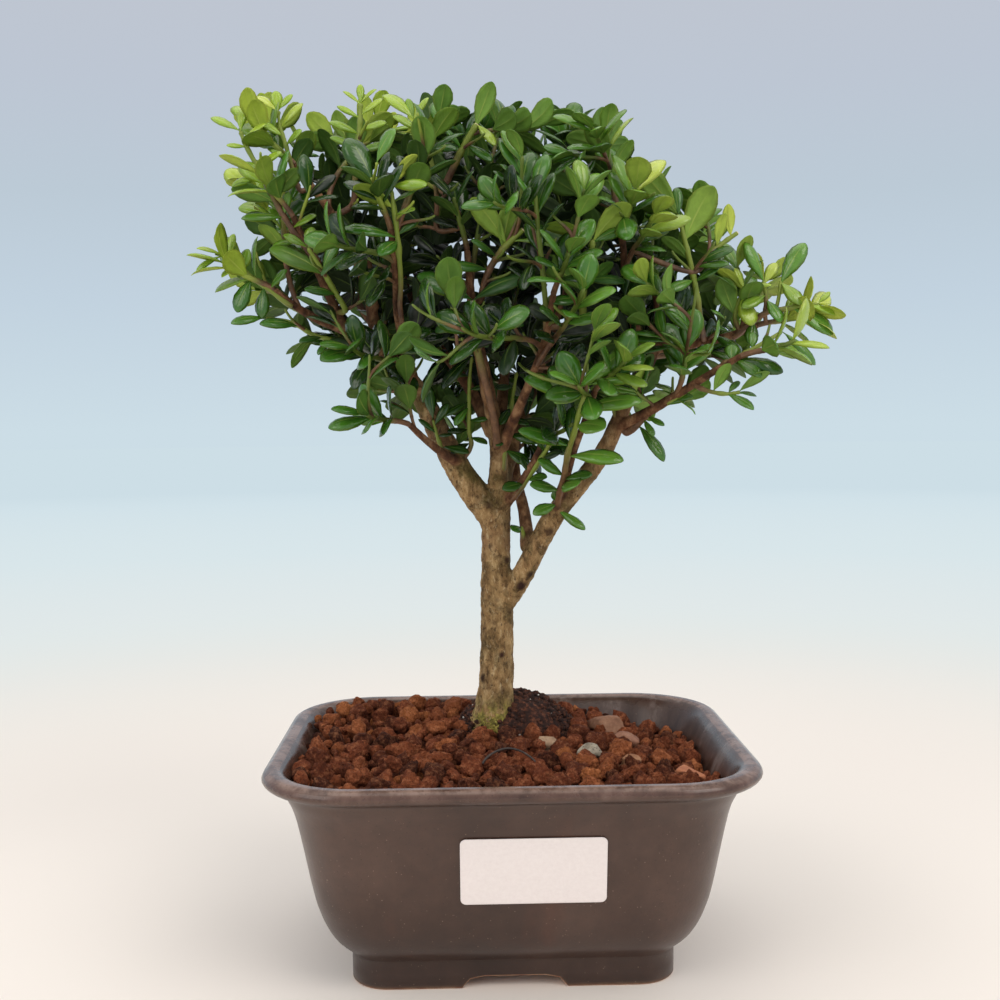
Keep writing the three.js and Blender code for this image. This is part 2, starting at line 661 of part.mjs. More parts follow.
// Whether two boxes at any turn are apart, by their separating axes
function boxesApart(a, b) {
  const between = sub(b.centre, a.centre);
  const reach = (box, axis) => (
    box.half.reduce((sum, half, k) => sum + half * Math.abs(dot(box.axes[k], axis)), 0)
  );
  const candidates = a.axes.concat(b.axes);
  for (const p of a.axes) {
    for (const q of b.axes) {
      const axis = cross(p, q);
      if (length(axis) > 1e-6) {
        candidates.push(axis);
      }
    }
  }
  return candidates.some((axis) => Math.abs(dot(between, axis)) > reach(a, axis) + reach(b, axis));
}

// Boxes round all the wood and twigs, each with its twig's number, or -1 on the wood
function stemBoxes(twigs) {
  const boxes = [];
  for (const points of Object.values(LIMBS)) {
    for (let k = 0; k + 1 < points.length; k += 1) {
      const radius = Math.max(points[k][3], points[k + 1][3]) + STEM_MARGIN;
      const [from, to] = [points[k].slice(0, 3), points[k + 1].slice(0, 3)];
      boxes.push({ box: stemBox(from, to, radius), twig: -1 });
    }
  }
  twigs.forEach(({ curve }, twig) => {
    for (let k = 0; k < TWIG_STEPS; k += 2) {
      boxes.push({ box: stemBox(curve[k], curve[k + 2], TWIG_BASE_RADIUS + STEM_MARGIN), twig });
    }
  });
  return boxes;
}

// Leaves stand round each twig by the golden angle, and turn until they are clear of everything else
function growLeaves(twigs) {
  const draw = seeded(LEAF_SEED);
  const placed = [];
  const stems = stemBoxes(twigs);
  twigs.forEach(({ curve }, twig) => {
    const leafyLength = length(sub(curve[TWIG_STEPS], curve[0])) * (1 - FIRST_LEAF);
    const count = Math.max(FEWEST_LEAVES, Math.round(leafyLength / LEAF_SPACING));
    const phase = draw() * 2 * Math.PI;
    for (let k = 0; k < count; k += 1) {
      const share = FIRST_LEAF + ((1 - FIRST_LEAF) * (k + 0.6)) / count;
      const fullSize = LEAF_LENGTH[0] + (LEAF_LENGTH[1] - LEAF_LENGTH[0]) * draw();
      const size = fullSize * (share > TIP_LEAVES_FROM ? TIP_LEAF_SHARE : 1);
      const lean = draw();
      for (let attempt = 0; attempt < TURNS_TRIED; attempt += 1) {
        const nudge = attempt * TURN_STEP * (attempt % 2 === 0 ? 1 : -1);
        const leaf = leafAt(curve, share, phase + GOLDEN_ANGLE * k + nudge, size, lean);
        leaf.whole = leafBox(leaf, WHOLE_LEAF);
        leaf.outer = leafBox(leaf, OUTER_LEAF);
        if (leafIsClear(leaf, twig, placed, stems)) {
          placed.push({ ...leaf, twig });
          break;
        }
      }
    }
  });
  return placed;
}

// A leaf's base point, its three directions and its length
function leafAt(curve, share, turn, size, lean) {
  const place = share * TWIG_STEPS;
  const k = Math.min(Math.floor(place), TWIG_STEPS - 1);
  const axis = unit(sub(curve[k + 1], curve[k]));
  const side = unit(cross(axis, Math.abs(axis[2]) > 0.9 ? [1, 0, 0] : UP));
  const radial = add(times(side, Math.cos(turn)), times(cross(axis, side), Math.sin(turn)));
  const spread = SPREAD_AT_BASE - SPREAD_LOSS * share + SPREAD_VARIATION * (lean - 0.5);
  const aimed = add(times(axis, Math.cos(spread)), times(radial, Math.sin(spread)));
  const along = unit(add(aimed, times(UP, LIGHT_SEEKING)));
  const across = unit(cross(add(axis, times(UP, FACING_UP)), along));
  return { base: mix(curve[k], curve[k + 1], place - k), along, across, normal: cross(along, across), size };
}

function leafIsClear(leaf, owner, placed, stems) {
  const { whole, outer } = leaf;
  const near = (centre, reach) => length(sub(centre, whole.centre)) < leaf.size + reach;
  const clearOfLeaves = placed.every((other) => {
    const own = other.twig === owner;
    return !near(other.outer.centre, other.size)
      || boxesApart(own ? outer : whole, own ? other.outer : other.whole);
  });
  return clearOfLeaves && stems.every(({ box, twig }) => (
    twig === owner || !near(box.centre, box.half[0] + box.half[1]) || boxesApart(whole, box)
  ));
}

// A leaf blade: widest past its middle, raised along the midrib and bent down at the tip
function leafSolid({ base, along, across, normal, size }) {
  const half = (size * LEAF_WIDTH_SHARE) / 2;
  const edge = ({ along: x, across: y, drop }, side) => [x * size, side * y * half, -drop * size];
  const points = [
    [-ROOT.depth, 0, ROOT.lift],
    edge(NECK, -1), edge(NECK, 1), [NECK.along * size, 0, MIDRIB_HEIGHT],
    edge(WIDEST, -1), edge(WIDEST, 1), [WIDEST.along * size, 0, MIDRIB_HEIGHT - WIDEST.drop * size / 2],
    [size, 0, -TIP_DROOP * size],
  ].map(([x, y, z]) => add(base, add(add(times(along, x), times(across, y)), times(normal, z))));
  const triangles = [
    [0, 2, 1], [0, 1, 3], [0, 3, 2],
    [1, 2, 4], [2, 5, 4], [1, 4, 3], [3, 4, 6], [3, 6, 5], [3, 5, 2],
    [4, 5, 7], [4, 7, 6], [6, 7, 5],
  ];
  return indexedSolid(points, triangles);
}

function twigTube(curve) {
  const path = [];
  for (let k = 0; k <= TWIG_STEPS; k += TWIG_STEPS / 4) {
    path.push([...curve[k], TWIG_BASE_RADIUS + (TWIG_TIP_RADIUS - TWIG_BASE_RADIUS) * (k / TWIG_STEPS)]);
  }
  return tube(path, 4);
}

// Materials
const finish = (color, roughness) => new THREE.MeshStandardMaterial({ color, roughness, metalness: 0 });
const glaze = finish(0x5f4e48, 0.45);
const paper = finish(0xf2efe9, 0.6);
const lava = finish(0x8c4b32, 0.95);
const peat = finish(0x2b1c16, 1);
const bark = finish(0x8d7f63, 0.85);
const darkLeaf = finish(0x2f5a24, 0.4);
const limeLeaf = finish(0x94b52f, 0.45);
const stone = finish(0xb99f83, 0.8);

const bonsai = new THREE.Group();
function place(name, solid, material) {
  const mesh = new THREE.Mesh(toGeometry(solid.asOriginal().simplify(FLATNESS)), material);
  mesh.name = name;
  bonsai.add(mesh);
}

const wood = makeWood(0);
const woodRoom = makeWood(GAP);
place('pot', makePot(), glaze);
place('label', makeLabel(), paper);
place('trunk_and_limbs', wood, bark);
place('root_ball', largestPiece(makeRootBall(0).subtract(woodRoom)), peat);

let gravel = makeGravel().subtract(makeRootBall(POCKET_GAP)).subtract(woodRoom);
PEBBLES.forEach((pebble, k) => {
  place(`pebble_${k + 1}`, makePebble(pebble, k, 0), stone);
  gravel = gravel.subtract(makePebble(pebble, k, POCKET_GAP));
});
place('lava_gravel', largestPiece(gravel), lava);

const samples = woodSamples().filter((sample) => sample.at[2] > LOWEST_TWIG_HEIGHT);
const twigs = growTwigs(samples);
const leaves = growLeaves(twigs);
twigs.forEach(({ curve }, k) => {
  const blades = leaves.filter((leaf) => leaf.twig === k).map(leafSolid);
  const spray = wasm.Manifold.union([twigTube(curve), ...blades]).subtract(woodRoom);
  const lime = isLime(curve[TWIG_STEPS]);
  const name = `spray_${lime ? 'lime' : 'green'}_${String(k + 1).padStart(2, '0')}`;
  place(name, largestPiece(spray), lime ? limeLeaf : darkLeaf);
});

// The origin goes to the middle of the underside of the whole object's box
const box = new THREE.Box3().setFromObject(bonsai);
const middle = box.getCenter(new THREE.Vector3());
bonsai.position.set(-middle.x, -middle.y, -box.min.z);

export default bonsai;
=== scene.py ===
import math
import random

import bmesh
import bpy
import numpy as np
from mathutils import Matrix, Vector, kdtree, noise


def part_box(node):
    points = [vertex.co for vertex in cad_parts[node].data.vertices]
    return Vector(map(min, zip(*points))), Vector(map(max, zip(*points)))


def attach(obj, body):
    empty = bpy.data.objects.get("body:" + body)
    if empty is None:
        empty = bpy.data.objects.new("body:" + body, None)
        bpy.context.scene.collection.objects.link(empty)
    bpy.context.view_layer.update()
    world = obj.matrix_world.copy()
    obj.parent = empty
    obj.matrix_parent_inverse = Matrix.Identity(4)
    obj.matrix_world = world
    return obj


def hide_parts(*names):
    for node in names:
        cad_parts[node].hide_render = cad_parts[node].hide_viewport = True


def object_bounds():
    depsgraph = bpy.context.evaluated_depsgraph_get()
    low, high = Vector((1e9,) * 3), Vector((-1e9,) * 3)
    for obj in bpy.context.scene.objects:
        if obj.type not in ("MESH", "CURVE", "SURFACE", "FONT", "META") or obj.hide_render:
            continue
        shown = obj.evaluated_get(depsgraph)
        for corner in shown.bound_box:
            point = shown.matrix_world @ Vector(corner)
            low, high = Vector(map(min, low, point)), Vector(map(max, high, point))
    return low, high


# Tables are in millimetres in the pot's frame: its centre is x = 0, y = 0 and its foot stands on z = 0
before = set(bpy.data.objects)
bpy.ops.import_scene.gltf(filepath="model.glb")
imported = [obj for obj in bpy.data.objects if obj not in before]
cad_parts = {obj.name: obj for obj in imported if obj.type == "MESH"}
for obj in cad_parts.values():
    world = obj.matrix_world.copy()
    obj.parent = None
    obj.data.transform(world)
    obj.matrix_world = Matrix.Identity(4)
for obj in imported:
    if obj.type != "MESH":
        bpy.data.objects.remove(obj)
cad_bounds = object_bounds()
MM = 0.001
pot_low, pot_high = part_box("pot")
ORIGIN = np.array([(pot_low.x + pot_high.x) / 2, (pot_low.y + pot_high.y) / 2, pot_low.z])
BOX_LOW = (np.array(cad_bounds[0]) - ORIGIN) / MM
BOX_HIGH = (np.array(cad_bounds[1]) - ORIGIN) / MM
UP = np.array([0.0, 0.0, 1.0])
GOLDEN_ANGLE = math.pi * (3 - math.sqrt(5))

RIM_HALF_WIDTH = 75
RIM_HALF_DEPTH = 62.5
RIM_CORNER_RADIUS = 28.5
CORNER_TIGHTENING = 0.66
# Inset from the rim and height, from the foot over the lip to the inner floor
POT_SECTION = np.array([
    [25.2, 0], [25.2, 8.6], [24.2, 9.8], [20.8, 13.2], [18.2, 17.2], [16, 22.4], [13.9, 30],
    [9.6, 52], [6.8, 59.4], [5, 62.4], [1.5, 63.6], [0, 65.4], [0.5, 67], [2.2, 68], [4.6, 67.8],
    [6.8, 66], [9.8, 60], [13.2, 50], [17.6, 30], [20.4, 22], [25.5, 14.5], [30, 12],
])
INNER_WALL_START = 15
ROOT_BALL_CENTRE = np.array([3, 24, 49.0])
ROOT_BALL_RADII = np.array([25, 21, 28.0])

# The canopy's reach from its core, at even steps round it as seen from the front
CANOPY_CORE = np.array([2, 13, 210.0])
CANOPY_REACH = [
    99, 78, 76, 74, 75, 75, 73, 76, 85, 100, 112, 99, 88, 71, 60, 56, 54, 60, 70, 75, 67, 73, 72, 88,
]
CANOPY_HALF_DEPTH = 68
CAMERA_AT = np.array([-12.74, -398.06, 168.74])
# As the camera sees it, by x and z on the plane y = 0: the outline's reach, and the gaps with their radii
SEEN_CORE = np.array([1.5, 208.7])
SEEN_REACH = [
    105, 97, 95, 82, 78, 76, 76, 70, 68, 68, 74, 74, 72, 68, 69, 68, 66, 66, 65, 69, 68, 66, 72, 74,
    78, 82, 86, 96, 103, 108, 108, 103, 95, 96, 99, 99, 90, 86, 76, 70, 61, 62, 61, 61, 62, 55, 53, 53,
    54, 54, 51, 47, 38, 40, 64, 67, 68, 72, 64, 62, 59, 60, 60, 66, 64, 60, 70, 84, 86, 92, 100, 105,
]
SEEN_GAPS = np.array([
    [57, 185, 4.2], [92, 192, 3.6], [45, 259, 3.6], [19, 240, 3.5], [-50, 187, 3.5], [-45, 177, 3.2],
    [-83, 231, 3], [-26, 188, 3], [65, 177, 2.9], [-57, 193, 2.9], [-44, 188, 2.8], [9, 147, 2.6],
    [74, 223, 2.5], [15, 207, 2.5], [87, 194, 2.3], [25, 186, 2.3], [85, 224, 2.3], [43, 166, 2.3],
])
# Places that more shoots reach for
FILL_TARGETS = np.array([
    [-14, 24, 170], [-9, 28, 178], [-19, 20, 178], [-24, 22, 184], [14, 26, 170], [10, 30, 162],
    [16, 22, 176], [8, 34, 178], [-30, 20, 186], [-12, 34, 186], [22, 28, 182],
    [-60, 20, 250], [-70, 14, 246], [-50, 25, 262], [-40, 30, 268], [-76, 10, 232], [-30, 28, 270],
    [-62, 30, 238], [-80, 4, 226], [-48, 10, 255], [-56, 12, 232],
])
TWIG_STEPS = 12
BEND_COST, DROP_COST = 14, 10
WOOD_CLEARANCE = 2.2
LOWEST_SHOOT = 100
# The half width a leaf needs, as a share of its length
LEAF_ROOM = 0.25
# How far an added leaf stays from the box, the gaps and the named shoots
BOX_MARGIN = 0.6
GAP_MARGIN = 1.5
SHOWN_MARGIN = 4.2
# The middle line of the trunk and of each limb: x, y, z and radius
LIMBS = {
    "trunk": [
        [-4.5, 18.5, 46, 8.6], [-4.6, 18.3, 66, 7.9], [-3.8, 18, 78, 6.2], [-3.2, 18, 94, 5.6],
        [-3.1, 18, 109, 5.5], [-3.3, 18, 121, 5], [-3.2, 18, 132, 4.9], [-3.4, 18, 143, 5.2],
    ],
    "left": [
        [-3.8, 18, 139, 4.8], [-9, 17, 145, 4.8], [-14, 16, 152, 4.5], [-19.4, 14, 162, 4.1],
        [-24.8, 12, 173, 3.6], [-30, 10, 183, 3], [-37, 9, 191, 2.6], [-42, 9, 200, 2.2],
        [-44, 11, 212, 1.8], [-45, 14, 226, 1.3],
    ],
    "left_top": [
        [-43, 10, 208, 1.8], [-47, 5, 222, 1.6], [-53, 0, 234, 1.4], [-59, -3, 243, 1.2], [-66, -5, 252, 1],
    ],
    "left_outer": [
        [-39, 9, 194, 2.1], [-50, 5, 200, 1.8], [-60, 1, 204, 1.5], [-67, -3, 208, 1.2], [-73, -5, 213, 1],
    ],
    "left_rise": [
        [-52, 4, 201, 1.6], [-57, -1, 213, 1.4], [-62, -6, 225, 1.2], [-66, -10, 235, 1],
    ],
    "left_back": [
        [-27, 11, 179, 2.3], [-34, 22, 190, 2], [-42, 34, 201, 1.6], [-50, 44, 212, 1.3], [-56, 51, 222, 1],
    ],
    "left_front": [
        [-30, 10, 183, 1.9], [-32, 1, 193, 1.7], [-34, -8, 205, 1.4], [-34, -16, 216, 1.2],
        [-35, -22, 229, 1],
    ],
    "left_low": [
        [-15, 14, 157, 1.8], [-20, 5, 160, 1.4], [-26, -1, 165, 1.2], [-31, -6, 170, 1],
    ],
    "centre": [
        [-2.8, 18, 138, 3.6], [-2, 16, 151, 3.2], [-2.3, 13, 162, 2.9], [-4, 9, 172, 2.6], [-6, 5, 182, 2.3],
        [-8, 2, 192, 2], [-10, 0, 201, 1.7], [-11, -3, 212, 1.4], [-12, -6, 225, 1.1],
    ],
    "centre_left": [
        [-4, 12, 167, 2.3], [-10, 15, 179, 2], [-15, 18, 187, 1.8], [-21, 20, 195, 1.6], [-26, 22, 203, 1.4],
        [-31, 25, 213, 1.2], [-35, 28, 224, 1],
    ],
    "centre_back": [
        [-2.6, 20, 150, 2.6], [-1, 30, 170, 2.2], [1, 39, 188, 1.8], [4, 47, 205, 1.4], [9, 53, 219, 1],
    ],
    "centre_right": [
        [-1, 18, 150, 2.7], [4, 22, 167, 2.3], [9, 26, 180, 2], [14, 30, 193, 1.7], [18, 33, 204, 1.5],
        [23, 35, 215, 1.2], [29, 36, 228, 1],
    ],
    "front": [
        [-2.2, 14, 159, 2], [3, 4, 172, 1.7], [8, -6, 184, 1.4], [12, -15, 196, 1.2], [14, -23, 209, 1],
    ],
    "front_low": [
        [0, 16, 143, 1.7], [5, 10, 150, 1.5], [9, 5, 157, 1.2], [12, 0, 164, 1],
    ],
    "right": [
        [-3.4, 18, 107, 4], [1.4, 17, 112.5, 3.9], [5, 15, 118, 3.7], [8.5, 13, 125, 3.6],
        [14.2, 11, 136, 3.5], [18.8, 9, 143, 3.4], [23.4, 7, 149, 3.3], [28.4, 6, 155, 3.1],
        [33.6, 5, 163, 2.8], [39, 5, 175, 2.4], [46, 6, 187, 2], [51, 8, 198, 1.7], [51, 12, 210, 1.4],
        [49, 16, 224, 1.1],
    ],
    "right_outer": [
        [50, 8, 195, 2], [57, 6, 195, 1.8], [65, 3, 196, 1.5], [74, 0.5, 198, 1.3], [81.5, -1, 201, 1.1],
    ],
    "right_low": [
        [36, 5, 168, 1.8], [45, -4, 173, 1.6], [53, -10, 178, 1.4], [62, -16, 184, 1.2], [72, -20, 190, 1],
    ],
    "right_back": [
        [40, 6, 177, 2.1], [47, 18, 187, 1.8], [55, 30, 197, 1.5], [62, 39, 207, 1.2], [68, 45, 217, 1],
    ],
    "right_top": [
        [45, 6, 186, 1.9], [42, -1, 200, 1.6], [38, -9, 214, 1.3], [36, -16, 227, 1],
    ],
    "shoot": [
        [16.8, 10, 140, 1.6], [19, 2, 150, 1.4], [21, -7, 160, 1.2], [24, -14, 170, 1.1], [27, -20, 180, 1],
    ],
    "inner": [
        [7.6, 14, 128, 2.3], [6.5, 20, 140, 2], [4, 28, 153, 1.8], [5, 35, 165, 1.6], [10, 43, 178, 1.3],
        [17, 51, 190, 1],
    ],
}

# Shoots that stand out in the photo: the stem's points with radii, and the leaves as (place along the
# stem, tip x, y, z, width, how far the top faces the viewer, youth), all but the tip in hundredths
NAMED_SHOOTS = {
    "front_left": ([
        (-32.3, -10, 199.5, 1.1), (-33, -13, 206.4, 1.05), (-32.5, -16, 213.7, 1), (-32.7, -20, 221.4, 0.95),
        (-33.3, -24, 230.7, 0.85), (-34.4, -28, 240.3, 0.6),
    ], [
        (87, -45, -30, 241, 42, -60, 75), (98, -44, -30, 245, 45, 80, 85), (100, -27, -27, 250, 42, -30, 85),
        (100, -24, -33, 241, 50, 90, 80), (84, -28, -30, 234, 50, 80, 60), (70, -49, -28, 229, 36, 80, 35),
        (68, -38, -30, 221, 50, 90, 30), (90, -28, -24, 240, 40, 40, 50), (72, -27, -18, 233, 42, 60, 30),
    ]),
    "middle_stub": ([
        (-2.6, 9.5, 163, 1.7), (-3.6, 4.5, 171, 1.7), (-5.4, 0.5, 179, 1.6), (-7.4, -3.5, 187, 1.5),
        (-9.2, -7, 194.6, 1.4), (-10.1, -9, 201.9, 1.3), (-10.3, -11, 208.3, 1.25),
    ], [
        (100, -27, -17, 216, 44, 90, 30), (100, 5, -18, 216, 44, 90, 30), (88, 5, -16, 201, 36, 80, 30),
        (85, -22, -15, 199, 42, 80, 30), (80, -6, -14, 194, 42, 70, 20),
    ]),
    "top_stub": ([
        (-18.5, -3, 244.1, 1.4), (-15.8, -5, 251.2, 1.3), (-12, -7, 257.9, 1.25), (-8.5, -8, 263.2, 1.2),
    ], [
        (93, -4, -9, 276, 42, -90, 40), (100, -3, -14, 256, 40, 50, 65), (55, -18, -10, 262, 42, 60, 30),
        (63, -4, -12, 252, 40, 80, 25),
    ]),
    "middle_shoots": ([
        (-8.1, -9, 208.8, 1.3), (-5.9, -13, 216.1, 1.2), (-1.9, -16, 222.4, 1.15), (1.8, -18, 226, 1.1),
        (5.1, -19, 228.9, 1),
    ], [
        (64, -10, -20, 239, 42, -80, 60), (54, 2, -20, 237, 50, -90, 45), (70, 14, -24, 224, 20, 20, 65),
        (44, -10, -22, 226, 42, 80, 35), (29, -17, -20, 219, 40, 90, 30),
    ]),
    "middle_right": ([
        (23.1, -12, 201.4, 1.3), (23.4, -16, 207.9, 1.25), (24.3, -20, 214.7, 1.2), (25.2, -23, 219.8, 1.1),
        (25.9, -25, 224.9, 0.8),
    ], [
        (100, 11, -29, 230, 40, -40, 60), (94, 36, -27, 236, 50, -90, 60), (33, 10, -22, 221, 42, -80, 45),
        (65, 12, -20, 230, 42, 90, 15), (93, 35, -26, 228, 46, 90, 15), (36, 32, -22, 219, 42, -70, 40),
        (44, 35, -26, 213, 40, 90, 20), (25, 14, -23, 207, 42, 90, 20),
    ]),
    "right_upright": ([
        (61.6, -8, 202.8, 1.2), (59.9, -10, 211.4, 1.15), (57.7, -12, 219.8, 1.1), (55.6, -13, 227.1, 1),
        (53.9, -14, 233.7, 0.7),
    ], [
        (100, 41, -14, 249, 42, -80, 50), (97, 42, -20, 226, 40, 90, 20), (99, 53, -12, 243, 40, 30, 15),
        (70, 64, -13, 243, 54, -95, 50), (31, 66, -14, 218, 42, 80, 15), (50, 49, -14, 228, 42, -60, 20),
        (34, 50, -16, 211, 42, 80, 20),
    ]),
    "right_upright_stub": ([
        (58.3, -12, 216.7, 0.9), (63.5, -11, 222.1, 0.9), (68.5, -10, 226, 0.85), (72.9, -10, 229, 0.8),
    ], [
        (82, 70, -9, 238, 44, -70, 75), (52, 68, -12, 235, 40, -50, 70), (18, 70, -16, 224, 40, 90, 10),
        (12, 69, -16, 219, 36, 90, 10),
    ]),
    "right_tip": ([
        (74.5, 0, 197.6, 1.3), (79.3, -3, 201.8, 1.2), (84, -5, 204.8, 1.1), (89.3, -7, 205.5, 1),
        (93.5, -8, 206.3, 0.9), (98.9, -9, 206.8, 0.6),
    ], [
        (21, 78, -7, 195, 55, 80, 10), (75, 95, -10, 209, 50, 80, 100), (86, 104, -11, 204, 38, 80, 85),
        (66, 104, -10, 198, 44, 90, 30), (100, 103, -8, 211, 40, 70, 100), (100, 102, -12, 207, 40, 80, 100),
    ]),
    "right_tip_twig": ([
        (83.3, -4, 204.2, 0.9), (83.6, -4, 208.7, 0.85), (83.2, -4, 211.9, 0.8), (82.6, -4, 214.7, 0.7),
    ], [
        (90, 77, -5, 227, 42, 50, 30), (33, 87, -10, 202, 50, 80, 30), (82, 87, -3, 221, 44, 40, 75),
        (48, 75, -9, 206, 45, 80, 50),
    ]),
    "right_tip_twig_2": ([
        (86.6, -5, 205.4, 0.8), (87.5, -5, 209.8, 0.75), (88.1, -5, 214.6, 0.7),
    ], [
        (85, 95, -6, 227, 44, 50, 40), (90, 93, -11, 207, 50, 80, 60),
    ]),
    "right_tip_twig_3": ([
        (75.9, -1, 198.5, 0.9), (74, -2, 203.2, 0.85), (75, -2, 207.7, 0.8), (76.7, -3, 212.3, 0.7),
    ], [
        (95, 68, -6, 219, 42, -30, 95), (97, 74, -4, 219, 50, 60, 100), (40, 69, -3, 216, 54, -70, 45),
        (80, 78, -9, 201, 60, 80, 85), (98, 84, -8, 214, 30, 70, 100),
    ]),
    "right_low_twig": ([
        (60.1, -14, 182.4, 1.2), (63.8, -16, 185.3, 1.1), (67.4, -18, 187.7, 1), (72.7, -18, 190.4, 0.9),
        (79.4, -16, 193.9, 0.85), (86.7, -12, 197.9, 0.7),
    ], [
        (100, 98, -12, 188, 34, 90, 10), (51, 84, -24, 186, 42, 90, 10), (52, 77, -25, 184, 46, 90, 10),
        (49, 70, -16, 194, 80, 60, 10), (70, 77, -15, 198, 50, 40, 10),
    ]),
    "right_low_twig_2": ([
        (59, -15, 181.1, 0.9), (63.4, -18, 179.1, 0.8), (68, -20, 178.4, 0.7), (71.5, -21, 178.9, 0.6),
    ], [
        (95, 79, -24, 186, 46, -60, 25), (35, 68, -20, 188, 52, -70, 40), (62, 75, -25, 174, 40, 90, 20),
        (67, 72, -17, 183, 40, 60, 15), (85, 77, -20, 178, 40, 50, 20),
    ]),
    "right_low_twig_3": ([
        (39.9, 2, 166.9, 1.5), (43.9, -2, 170.7, 1.4), (47.8, -6, 174.5, 1.3), (52.9, -10, 177.2, 1.2),
        (57.6, -12, 180.6, 1.15),
    ], [
        (55, 58, -12, 179, 36, 80, 10), (75, 59, -16, 173, 40, -30, 35), (17, 51, -6, 158, 32, 80, 15),
        (33, 50, -8, 169, 35, 60, 30), (28, 47, -7, 166, 45, 50, 10),
    ]),
    "lower_shoot": ([
        (16.6, 8, 140.6, 1.3), (17.3, 3, 146.8, 1.25), (18.5, -3, 153.2, 1.2), (19.3, -9, 160.4, 1.1),
        (21, -15, 167.7, 1.05), (22.5, -20, 174.8, 1), (24.3, -24, 181.1, 0.8),
    ], [
        (100, 36, -27, 193, 36, 80, 45), (100, 39, -30, 184, 26, 60, 45), (80, 40, -26, 177, 36, 90, 40),
        (88, 6, -26, 185, 40, 90, 35), (93, 14, -30, 177, 42, 95, 40), (69, 29, -24, 169, 70, 98, 35),
        (54, 4, -16, 169, 34, 80, 35), (47, 36, -15, 159, 38, 90, 35), (32, 11, -7, 159, 50, 80, 25),
        (57, 20, -12, 175, 40, 30, 10), (20, 8, -3, 151, 46, 80, 5), (29, 27, -5, 154, 50, 80, 5),
        (23, 22, -8, 151, 80, 95, 20), (9, 9, 1, 141, 46, 80, 15), (10, 16, 2, 148, 70, 80, 5),
        (3, 26, 2, 136, 36, 70, 20),
    ]),
    "lower_left_of_shoot": ([
        (6.2, 14, 130.8, 1), (5.8, 13, 133.6, 0.8), (5.1, 12, 135.4, 0.6),
    ], [
        (95, 2, 8, 135, 80, 80, 20),
    ]),
    "mid_low_twig": ([
        (2.2, 13, 144.4, 1.1), (6.1, 9, 149.9, 1), (11.1, 3, 158, 0.95), (14.7, -2, 164.2, 0.8),
    ], [
        (38, 13, 3, 153, 50, 80, 5), (32, -1, 5, 149, 60, 80, 5), (47, 5, 6, 159, 50, 50, 5),
        (77, 10, -2, 167, 46, 60, 5), (67, 17, -3, 161, 46, 80, 10),
    ]),
    "left_tip": ([
        (-68.3, -4, 208.1, 1.1), (-74.4, -5, 212.8, 1), (-81.3, -6, 217.7, 0.9), (-86.3, -7, 222.3, 0.75),
        (-91, -7, 223.9, 0.45),
    ], [
        (85, -96, -9, 226, 30, 60, 100), (86, -97, -9, 219, 30, 70, 95), (82, -90, -6, 231, 50, 70, 95),
        (78, -85, -8, 230, 45, 70, 90), (62, -89, -9, 217, 40, 70, 85), (54, -81, -9, 225, 60, 90, 55),
        (44, -85, -8, 206, 50, 90, 15), (31, -77, -7, 204, 46, 90, 15), (25, -69, -9, 219, 50, 80, 40),
    ]),
    "left_low_rim": ([
        (-50.3, 4, 195.9, 1), (-56.4, 1, 197.4, 0.9), (-61.9, -1, 199.2, 0.8), (-68.6, -3, 202.9, 0.7),
        (-76, -4, 204.1, 0.5),
    ], [
        (100, -86, -9, 203, 40, 90, 25), (65, -77, -8, 203, 40, 90, 25), (44, -69, -5, 189, 40, -50, 40),
        (36, -65, -6, 197, 36, 80, 30), (25, -60, -4, 193, 40, 80, 20),
    ]),
    "upper_left": ([
        (-59, -6, 221.3, 1.2), (-64.2, -8, 227.9, 1.1), (-68.5, -10, 234.4, 1.05), (-72.2, -11, 241.3, 1),
        (-76.2, -12, 249.4, 0.9), (-79.7, -12, 256.1, 0.75), (-81.5, -12, 260.9, 0.5),
    ], [
        (97, -90, -13, 265, 42, 80, 70), (97, -81, -10, 268, 42, 70, 90), (88, -74, -14, 263, 42, 60, 95),
        (82, -85, -15, 256, 45, 80, 85), (61, -84, -14, 244, 40, 80, 90), (44, -84, -12, 244, 50, -70, 45),
        (33, -81, -15, 234, 34, 90, 55), (49, -63, -14, 249, 44, -50, 50), (58, -78, -14, 251, 42, 70, 95),
        (67, -69, -15, 254, 45, 80, 90), (17, -72, -14, 225, 36, 90, 55), (25, -59, -13, 235, 42, 80, 60),
        (35, -67, -12, 242, 44, 60, 60),
    ]),
    "upper_left_2": ([
        (-64.2, -6, 243.7, 1), (-66.4, -7, 250.4, 0.95), (-68, -8, 256.9, 0.85), (-69.8, -8, 263.1, 0.7),
        (-70.3, -8, 267.9, 0.45),
    ], [
        (95, -71, -8, 274, 60, 70, 100), (95, -77, -7, 273, 40, 60, 95), (97, -66, -8, 273, 40, 60, 100),
        (71, -63, -10, 270, 40, 70, 80), (60, -75, -10, 264, 50, 80, 90), (50, -63, -12, 261, 55, 90, 85),
        (34, -72, -12, 255, 50, 90, 80),
    ]),
    "left_front_leaves": ([
        (-50.9, -4, 206.5, 1.1), (-53.9, -8, 212.3, 1), (-57.2, -11, 218.2, 0.9), (-61.2, -13, 224.7, 0.7),
    ], [
        (55, -72, -16, 225, 40, 95, 55), (63, -52, -14, 228, 40, 60, 45), (100, -68, -15, 229, 50, 80, 70),
        (98, -60, -14, 231, 60, 85, 70), (25, -62, -13, 213, 44, 90, 30),
    ]),
    "top_middle_left": ([
        (-48.5, 0, 240.1, 1.2), (-47.3, -2, 247.6, 1.1), (-46, -4, 256.5, 1), (-45.2, -5, 264, 0.9),
        (-44.8, -5, 270.8, 0.5),
    ], [
        (96, -50, -5, 275, 30, 60, 100), (97, -45, -4, 277, 40, 60, 100), (99, -40, -6, 275, 30, 60, 100),
